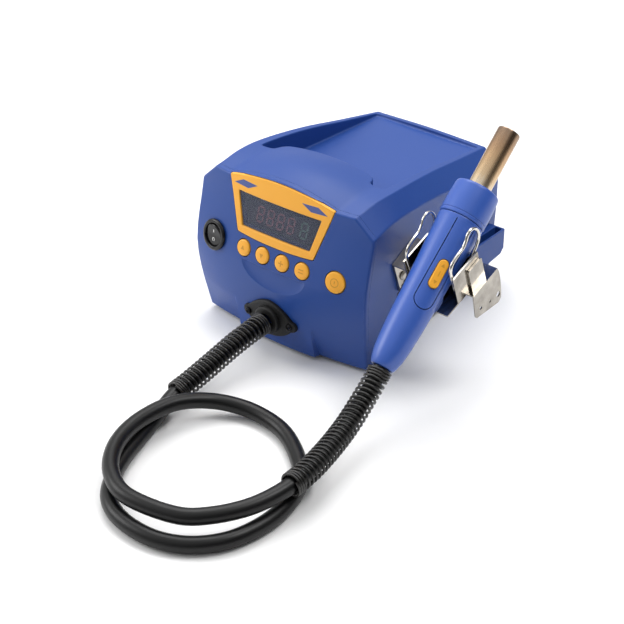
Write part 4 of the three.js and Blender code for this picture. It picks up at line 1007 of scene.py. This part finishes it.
def buildDisplay():
    pane = frontPuck("window_pane", stack(windowOutline, [(0.3, 1.7), (0.3, 0.45), (0.45, 0.32),
                                                          (0.7, 0.3)]))
    settle(pane, "smokedGlass", "display_window")
    rim = perimeter(rectangle(*display["box"]), 8)
    face = [(x * 0.99, 100 + (z - 100) * 0.98) for x, z in rim]
    layers = [(rim, display["back"]), (rim, display["front"] + 0.3), (face, display["front"])]
    settle(frontPuck("display_block", layers), "blackPlastic", "display_module")
    for index, x in enumerate(display["digitXs"]):
        verts, faces = [], []
        for bar in segmentShapes(x):
            leaned = [(px + (pz - display["z"]) * display["lean"], pz) for px, pz in bar]
            offsets = (display["front"], display["front"] - display["raised"])
            sides = [(0, 1, 2, 3), (7, 6, 5, 4)] + gridFaces(2, 4)
            faces += [tuple(len(verts) + v for v in face) for face in sides]
            verts += [onFront(px, pz, offset) for offset in offsets for px, pz in leaned]
        item = solid(f"digit_{index + 1}", verts, faces)
        settle(item, "digitRed" if index < 4 else "digitGreen", angle=0, weighted=False)


def keyProfile(r):
    stop, stem = -housing["fasciaWall"] - front["travel"] - housing["gap"], -front["stem"]
    return [(0, 1.4), (r * 0.3, 1.37), (r * 0.6, 1.24), (r * 0.8, 1.06), (r - 0.6, 0.86), (r - 0.25, 0.6),
            (r - 0.06, 0.25), (r, -0.2), (r, stop), (r + 1.5, stop), (r + 1.5, stop - 1.2), (2, stop - 1.2),
            (2, stem), (0, stem)]


def prismZ(name, outline, z0, z1, place, soften):
    centre = [sum(p[i] for p in outline) / len(outline) for i in (0, 1)]
    inner = 1 - soften / max(abs(p[0] - centre[0]) for p in outline)
    loops = [[Vector((x, y, z)) for x, y in outline] for z in (z0, z1 - soften)]
    loops.append([Vector((lerp(centre[0], x, inner), lerp(centre[1], y, inner), z1)) for x, y in outline])
    return loft(name, loops, place)


def ringMark(name, r, thick, z0, z1, place, at=(0, 0), stretch=1.0):
    profile = [(r - thick, z0), (r, z0), (r, z1), (r - thick, z1)]
    item = turned(name, profile, 40, Matrix.Translation((*at, 0)) @ Matrix.Diagonal((1, stretch, 1, 1)))
    item.data.transform(place)
    return item


keyMarks = {  # an arrow up, an arrow down, a cross and two bars
    "key_1": [[(-1.7, -1.2), (1.7, -1.2), (0, 1.9)]],
    "key_2": [[(-1.7, 1.2), (1.7, 1.2), (0, -1.9)]],
    "key_3": [rectangle(-2.2, 2.2, -0.45, 0.45), rectangle(-0.45, 0.45, -2.2, -0.47),
              rectangle(-0.45, 0.45, 0.47, 2.2)],
    "key_4": [rectangle(-2.2, 2.2, 0.7, 1.5), rectangle(-2.2, 2.2, -1.5, -0.7)],
}


def buildKeys():
    for x, (name, shapes) in zip(front["keyXs"], keyMarks.items()):
        place = frontSeat(x, front["keyZ"])
        cap = turned(name + "_cap", keyProfile(front["keyRadius"]), 64, place)
        settle(cap, "yellowPlastic", name, name)
        for number, shape in enumerate(shapes):
            part = prismZ(f"{name}_mark_{number + 1}", shape, 1.0, 1.46, place, 0.08)
            settle(part, "keyMark", body=name, angle=20)
    place = frontSeat(front["startX"], front["keyZ"])
    cap = turned("start_key_cap", keyProfile(front["startRadius"]), 72, place)
    settle(cap, "yellowPlastic", "start_key", "start_key")
    ring = ringMark("start_key_ring", 3.4, 0.6, 1.0, 1.4, place)
    bar = prismZ("start_key_bar", rectangle(-0.35, 0.35, -0.9, 1.4), 1.0, 1.48, place, 0.08)
    for item in (ring, bar):
        settle(item, "keyMark", body="start_key", angle=20)


switch = {"bore": 8.9, "outer": 12, "capRadius": 8.4, "sides": 72, "tilt": 8, "height": 2.15}


def buildSwitch():
    place = frontSeat(front["switchX"], front["switchZ"])
    bore, barrel, outer = switch["bore"], front["barrel"], switch["outer"]
    ring = turned("switch_ring", [
        (0, -9), (bore, -9), (bore, 1.7), (9.02, 2.1), (9.3, 2.34), (9.7, 2.4), (10.5, 2.4), (11.2, 2.22),
        (11.7, 1.85), (11.95, 1.35), (outer, 0.9), (outer, 0.6), (barrel, 0.6), (barrel, -20), (0, -20)],
        96, place)
    settle(ring, "glossBlack", "switch_barrel")
    loops = []
    for share in [k / 12 for k in range(1, 11)] + [0.88, 0.92, 0.95, 0.975, 0.99, 1.0]:
        loops.append(circle(switch["capRadius"] * share, 0, switch["sides"]))
        for p in loops[-1]:  # a shallow valley between two raised ends, with a rounded rim
            lift = switch["height"] + 1.2 * (math.sqrt(p.y * p.y + 0.6) - 0.77) / 9
            p.z = lift - 0.55 * smooth((share - 0.9) / 0.1)
    for wide, deep, z in ((1, 1, 0.6), (0.97, 0.97, -0.6), (0.36, 0.3, -3.2)):
        loops.append([Vector((p.x * wide, p.y * deep, z)) for p in loops[-1]])
    tilted = place @ Matrix.Translation((0, 0, -1)) @ Matrix.Rotation(math.radians(switch["tilt"]), 4, "X")
    settle(loft("rocker_cap", loops, tilted), "glossBlack", "switch_rocker", "switch_rocker", 40)
    bar = prismZ("rocker_mark_on", rectangle(-0.38, 0.38, 2.3, 4.5), 2.0, 2.68, tilted, 0.03)
    ring = ringMark("rocker_mark_off", 1.35, 0.42, 2.0, 2.68, tilted, (0, -3.5), 1.15)
    for item in (bar, ring):
        settle(item, "markWhite", body="switch_rocker", angle=20)


def glandOutline(inset):
    x, z, end = 25 - inset, 15.5 - inset, 4.2
    quarter = quadratic((x, 0), (x, end), (x - end, end), 5)
    quarter += quadratic((x - end, end), (x - 14, z - 1), (0, z), 14)
    half = quarter + [(0, z)] + [(-px, pz) for px, pz in reversed(quarter[1:])]
    other = [(-px, -pz) for px, pz in half]
    return [(px, front["glandZ"] + pz) for px, pz in half + other]


def buildGland():
    plate = frontPuck("gland_plate", stack(glandOutline, [(0, -0.3), (0, -2.3), (0.25, -2.85), (0.7, -3.2),
                                                          (1.3, -3.3)]))
    boss = turned("gland_boss", [
        (0, -4), (11, -4), (11, 5.2), (10.8, 5.8), (10.3, 6.2), (9.6, 6.4), (0, 6.4)], 72, alongY(0))
    bore = turned("bore", [(0, -3), (6.2, -3), (6.2, 20), (0, 20)], 48, alongY(0))
    combined(plate, ("UNION", boss), *cuts([frontSlab("seat", -0.3), bore, *screwHoles()]))
    settle(plate, "softRubber", "hose_gland", angle=40)
    for number, side in ((1, -1), (2, 1)):
        place = alongY(side * front["screwX"])
        place.translation.y = frontY(side * front["screwX"], front["glandZ"]) - 3.4
        head = turned(f"gland_screw_head_{number}", [
            (0, -6), (1.3, -6), (1.3, 0), (2.8, 0), (2.8, 0.7), (2.5, 1.3), (1.7, 1.75), (0.8, 1.9),
            (0, 1.92)],
            40, place)
        slots = [block("cross", -a, a, -b, b, 0.9, 3, place) for a, b in ((1.7, 0.32), (0.32, 1.7))]
        combined(head, *cuts(slots))
        settle(head, "blackScrew", f"gland_screw_{number}", angle=30)


for build in (buildFascia, buildBezel, buildDisplay, buildKeys, buildSwitch, buildGland):
    build()
print("front parts ready")

# handpiece
gripLine = [(0, 8.3), (4, 9.9), (12, 11.6), (32, 13.2), (55, 14), (76, 14.8), (95, 15.7),
            (hand["gripLength"], 16.6)]
keyPanel = {"low": 46, "high": hand["gripLength"] - 3, "halfWidth": 7.7, "seam": 0.7}
handKey = {"low": 62.25, "high": 83.75, "halfWidth": 3.6, "proud": 0.9, "clearance": 0.6}
fingerPad = {
    "low": 47, "high": 78, "halfWidth": 14, "corner": 6.5, "proud": 1.1, "depth": 1.2, "ribs": 9,
    "rib": 0.28, "ringLow": 30, "ringHigh": 100,
}
handPlace = Matrix(handBasis).transposed().to_4x4()
handPlace.translation = Vector((hand["x"], hand["tailY"], hand["tailZ"] - stationOrigin.z / mm))


def gripRadius(s):
    return along(gripLine, s)


def gripRing(name, outer, inner, step):  # the grip's skin near the pad, from inner out to outer(s)
    stations = evenStations(fingerPad["ringLow"], fingerPad["ringHigh"], step)
    profile = [(gripRadius(s) + inner, s) for s in stations]
    profile += [(gripRadius(s) + outer(s), s) for s in reversed(stations)]
    return turned(name, profile, hand["sides"])


def slotOutline(halfWidth, low, high, roundTop, steps=18):
    points = arc(0, low + halfWidth, halfWidth, 180, 360, steps)
    if roundTop:
        return points + arc(0, high - halfWidth, halfWidth, 0, 180, steps)
    return points + [(halfWidth, high), (-halfWidth, high)]


def prismY(name, layers):  # outlines of (x, s) stacked along the key side's direction
    return loft(name, [[Vector((x, y, s)) for x, s in outline] for outline, y in layers])


def padOutline(grow):
    wide, low, high = fingerPad["halfWidth"] + grow, fingerPad["low"] - grow, fingerPad["high"] + grow
    return rounded(rectangle(-wide, wide, low, high), {k: fingerPad["corner"] for k in range(4)}, 8)


def finishHand(item, finish, node=None, body="handpiece", angle=32):
    item.data.transform(handPlace)
    return settle(item, finish, node, body, angle)


def buildGrip():
    wall, end = hand["wall"], hand["gripLength"] - 0.4
    bore = hose["diameter"] / 2 + 0.8
    profile = [(bore, 0), (7.5, 0), (8.1, 0.25)]
    profile += [(gripRadius(s), s) for s in evenStations(1.2, end - 0.5, 2.0)]
    profile += [(gripRadius(end) - 0.3, end), (gripRadius(end) - wall, end)]
    profile += [(gripRadius(s) - wall, s) for s in reversed(evenStations(4, end - 1, 4.0))] + [(bore, 4)]
    wide, low, high, seam = (keyPanel[key] for key in ("halfWidth", "low", "high", "seam"))
    slot = slotOutline(wide, low, high, False)
    pocket = prismY("pocket", [(padOutline(0.3), -30), (padOutline(0.3), -2)])
    combined(pocket, ("INTERSECT", gripRing("outer", lambda s: 5, -fingerPad["depth"] - 0.3, 2.0)))
    halves = {"front": (0.22, 40, prismY("slot", [(slot, 4), (slot, 30)])), "back": (-40, -0.22, pocket)}
    for side, (near, far, tool) in halves.items():
        shell = turned("grip_shell_" + side, profile, hand["sides"])
        combined(shell, ("INTERSECT", block("half", -40, 40, near, far, -10, beyond)), ("DIFFERENCE", tool))
        finishHand(shell, "handleBlue", "grip_" + side)
    panel = turned("key_panel_shell", profile, hand["sides"])
    outline = slotOutline(wide - seam, low + seam, high, False)
    room = handKey["clearance"]
    hole = slotOutline(handKey["halfWidth"] + room, handKey["low"] - room, handKey["high"] + room, True)
    combined(panel, ("INTERSECT", prismY("panel", [(outline, 4), (outline, 30)])),
             ("DIFFERENCE", prismY("keyHole", [(hole, 2), (hole, 32)])))
    finishHand(panel, "handleBlue", "key_panel")


handKeyMarks = {
    "up": [(-1.5, 78.2), (1.5, 78.2), (0, 80.8)],
    "middle": rectangle(-0.25, 0.25, 71.0, 75.0),
    "down": [(-1.5, 67.8), (0, 65.2), (1.5, 67.8)],
}


def buildHandKey():
    reach = gripRadius((handKey["low"] + handKey["high"]) / 2)
    top = reach + handKey["proud"]

    def outline(inset):
        return slotOutline(handKey["halfWidth"] - inset, handKey["low"] + inset, handKey["high"] - inset,
                           True)

    cap = prismY("hand_key_cap", stack(outline, [(0, reach - 4.2), (0, top - 0.5), (0.12, top - 0.22),
                                                 (0.4, top - 0.06), (0.8, top)]))
    combined(cap, ("UNION", block("foot", -1.6, 1.6, reach - 6.5, reach - 4, 70, 76)))
    finishHand(cap, "yellowPlastic", "hand_key", "hand_key")
    for label, shape in handKeyMarks.items():
        mark = prismY(f"hand_key_mark_{label}", [(shape, reach + 0.4), (shape, top + 0.1)])
        finishHand(mark, "keyMark", None, "hand_key", 20)


def buildPad():
    low, high, rib = fingerPad["low"], fingerPad["high"], fingerPad["rib"]

    def ribbed(s):
        share = (s - low) / (high - low)
        wave = math.cos(2 * math.pi * fingerPad["ribs"] * share)
        height = max(-1, min(1, 1.8 * wave)) if 0.05 < share < 0.95 else 0
        return fingerPad["proud"] - rib + rib * height

    pad = prismY("finger_pad_ribbed", [(padOutline(0), -30), (padOutline(0), -2)])
    combined(pad, ("INTERSECT", gripRing("skin", ribbed, -fingerPad["depth"], 0.4)))
    finishHand(pad, "softRubber", "finger_pad")


def buildNozzle():
    start, end = hand["gripLength"], hand["gripLength"] + hand["collarLength"]
    r, pipe, wall = hand["collarRadius"], hand["pipeRadius"], hand["pipeWall"]
    bore, tip = pipe + hand["gap"], end + hand["pipeReach"]
    shoulder = [(0, 12), (0.25, 7), (0.5, 2.4), (0.62, 1.6), (0.85, 1.0), (1.25, 0.5), (1.8, 0.16),
                (2.4, 0.02)]
    profile = [(bore, start), (r - 1.0, start), (r - 0.4, start + 0.22), (r, start + 0.8), (r, start + 2.2),
               (r - 0.35, start + 2.5), (r - 0.35, start + 3.1), (r, start + 3.4)]
    profile += [(r - inward, end - down) for inward, down in shoulder]
    profile += [(bore + 0.4, end), (bore, end - 0.4)]
    finishHand(turned("collar_shell", profile, hand["sides"]), "handleBlue", "collar")
    inside = hand["pipeInside"]
    profile = [(pipe - wall, inside), (pipe, inside)]
    profile += [(pipe, s) for s in evenStations(inside + 4, tip - 0.8, 6)]
    profile += [(pipe - 0.06, tip - 0.3), (pipe - 0.25, tip), (pipe - wall + 0.2, tip),
                (pipe - wall, tip - 0.25)]
    finishHand(turned("heater_tube", profile, 96), "heatedSteel", "heater_pipe")


for build in (buildGrip, buildHandKey, buildPad, buildNozzle):
    build()
print("handpiece ready")

# holder
holder = {
    "x": 122.5, "y": -60, "z": 84, "tilt": 20, "wireX": 18.4, "wire": 2.4,
    "hairpin": [(-18, 6), (-18.4, 18), (-19, 28), (-18.4, 32.5), (-15, 36.4), (-8.5, 38.2), (-1, 39.2),
                (2.6, 41.6), (6.2, 45), (10, 46), (14, 43.6), (16.6, 38.6), (16.2, 33), (12.4, 28.6),
                (7, 24.6), (4.6, 20), (4.4, 6)],
}


def softened(node, finish, width):  # the CAD piece with rounded edges
    item = linked(node + "_soft", nodes[node].data.copy())
    item.data.transform(nodes[node].matrix_world)
    tidyMesh(item, 1.0)
    bevel = item.modifiers.new("edges", "BEVEL")
    bevel.width = width * mm
    bevel.segments = 3
    bevel.limit_method = "ANGLE"
    bevel.angle_limit = math.radians(30)
    flat(item)
    return settle(item, finish, node, angle=40, scaled=False)


def buildHolder():
    place = (Matrix.Translation((holder["x"], holder["y"], holder["z"] - stationOrigin.z / mm))
             @ Matrix.Rotation(math.radians(holder["tilt"]), 4, "X"))
    for node in ("holder_cradle", "holder_bracket"):
        softened(node, "holderSteel", 0.3)
    line, _ = routeCurve([Vector((0, u, w)) for u, w in holder["hairpin"]], 0.8)
    for side, name in ((-1, "left"), (1, "right")):
        wire = sweep(f"hairpin_{name}", line, holder["wire"] / 2, 18)
        wire.data.transform(place @ Matrix.Translation((side * holder["wireX"], 0, 0)))
        settle(wire, "wireSteel", f"cradle_wire_{name}", angle=50)
    for number in (1, 2):
        softened(f"cradle_rivet_{number}", "holderSteel", 0.25)
        softened(f"bracket_screw_{number}", "innerSteel", 0.25)


buildHolder()
print("holder ready")

# back, bottom and side: finish, edge width, nodes
for finish, width, names in (
        ("housingBlue", 0.7, ["side_pocket"]), ("darkPanel", 0.35, ["rear_panel", "base_pan"]),
        ("blackPlastic", 0.5, ["mains_inlet"]), ("blackPlastic", 0.3, ["fuse_holder"]),
        ("softRubber", 0.3, ["foot_1", "foot_2", "foot_3", "foot_4"]),
        ("innerSteel", 0.25, ["inlet_pin_1", "inlet_pin_2", "inlet_pin_3"])):
    for node in names:
        softened(node, finish, width)
print("back and bottom ready")

# floor and light
stage = {
    "floor": (0.93, 0.93, 0.93, 1), "drop": -0.0002, "skyFrom": (-0.45, 0.0, 0.9), "skyLow": 0.06,
    "skyHigh": 0.9, "aim": (0, -0.05, 0.06),
    "lights": {  # place, size and power
        "topLight": ((-0.5, 0.35, 1.5), 1.2, 14),
        "leftLight": ((-1.4, -0.9, 0.9), 1.0, 13),
        "rightLight": ((0.7, 0.35, 1.5), 0.7, 10),
    },
}


def addStage():
    floor = makeObject("floor", [(x, y, 0) for x, y in rectangle(-6, 6, -6, 6)], [(0, 1, 2, 3)])
    floor.location.z = stage["drop"]
    material, _, shader = startMaterial("paleFloor")
    shader.inputs["Base Color"].default_value = stage["floor"]
    shader.inputs["Roughness"].default_value = 0.9
    floor.data.materials.append(material)
    world = bpy.data.worlds.new("studio")
    world.use_nodes = True
    sky = world.node_tree
    where = addNode(sky, "TexCoord").outputs["Generated"]
    facing = dot(sky, where, tuple(Vector(stage["skyFrom"]).normalized()))
    level = mapped(sky, facing, -0.1, 0.85, stage["skyLow"], stage["skyHigh"],
                   interpolation_type="SMOOTHSTEP")
    sky.nodes["Background"].inputs["Color"].default_value = (1, 1, 1, 1)
    sky.links.new(level, sky.nodes["Background"].inputs["Strength"])
    bpy.context.scene.world = world
    for name, (place, size, power) in stage["lights"].items():
        data = bpy.data.lights.new(name, "AREA")
        data.shape = "DISK"
        data.size, data.energy = size, power
        aimed(linked(name, data), place, Vector(stage["aim"]) - Vector(place))
    bpy.context.scene.view_settings.view_transform = "Standard"


addStage()

# materials of the CAD nodes that show as they are
for finish, names in {
    "blackPlastic": ["blower_impeller"],
    "softRubber": ["air_duct", "inner_air_tube"],
    "darkPanel": ["blower_case"],
    "innerSteel": ["transformer_core", "blower_motor"],
    "copperWire": ["transformer_coil"],
    "boardGreen": ["mains_board", "panel_board", "hand_board"],
    "ceramicWhite": ["heater_core", "heater_mount"],
}.items():
    for name in names:
        nodes[name].data.materials.clear()
        nodes[name].data.materials.append(materials[finish])
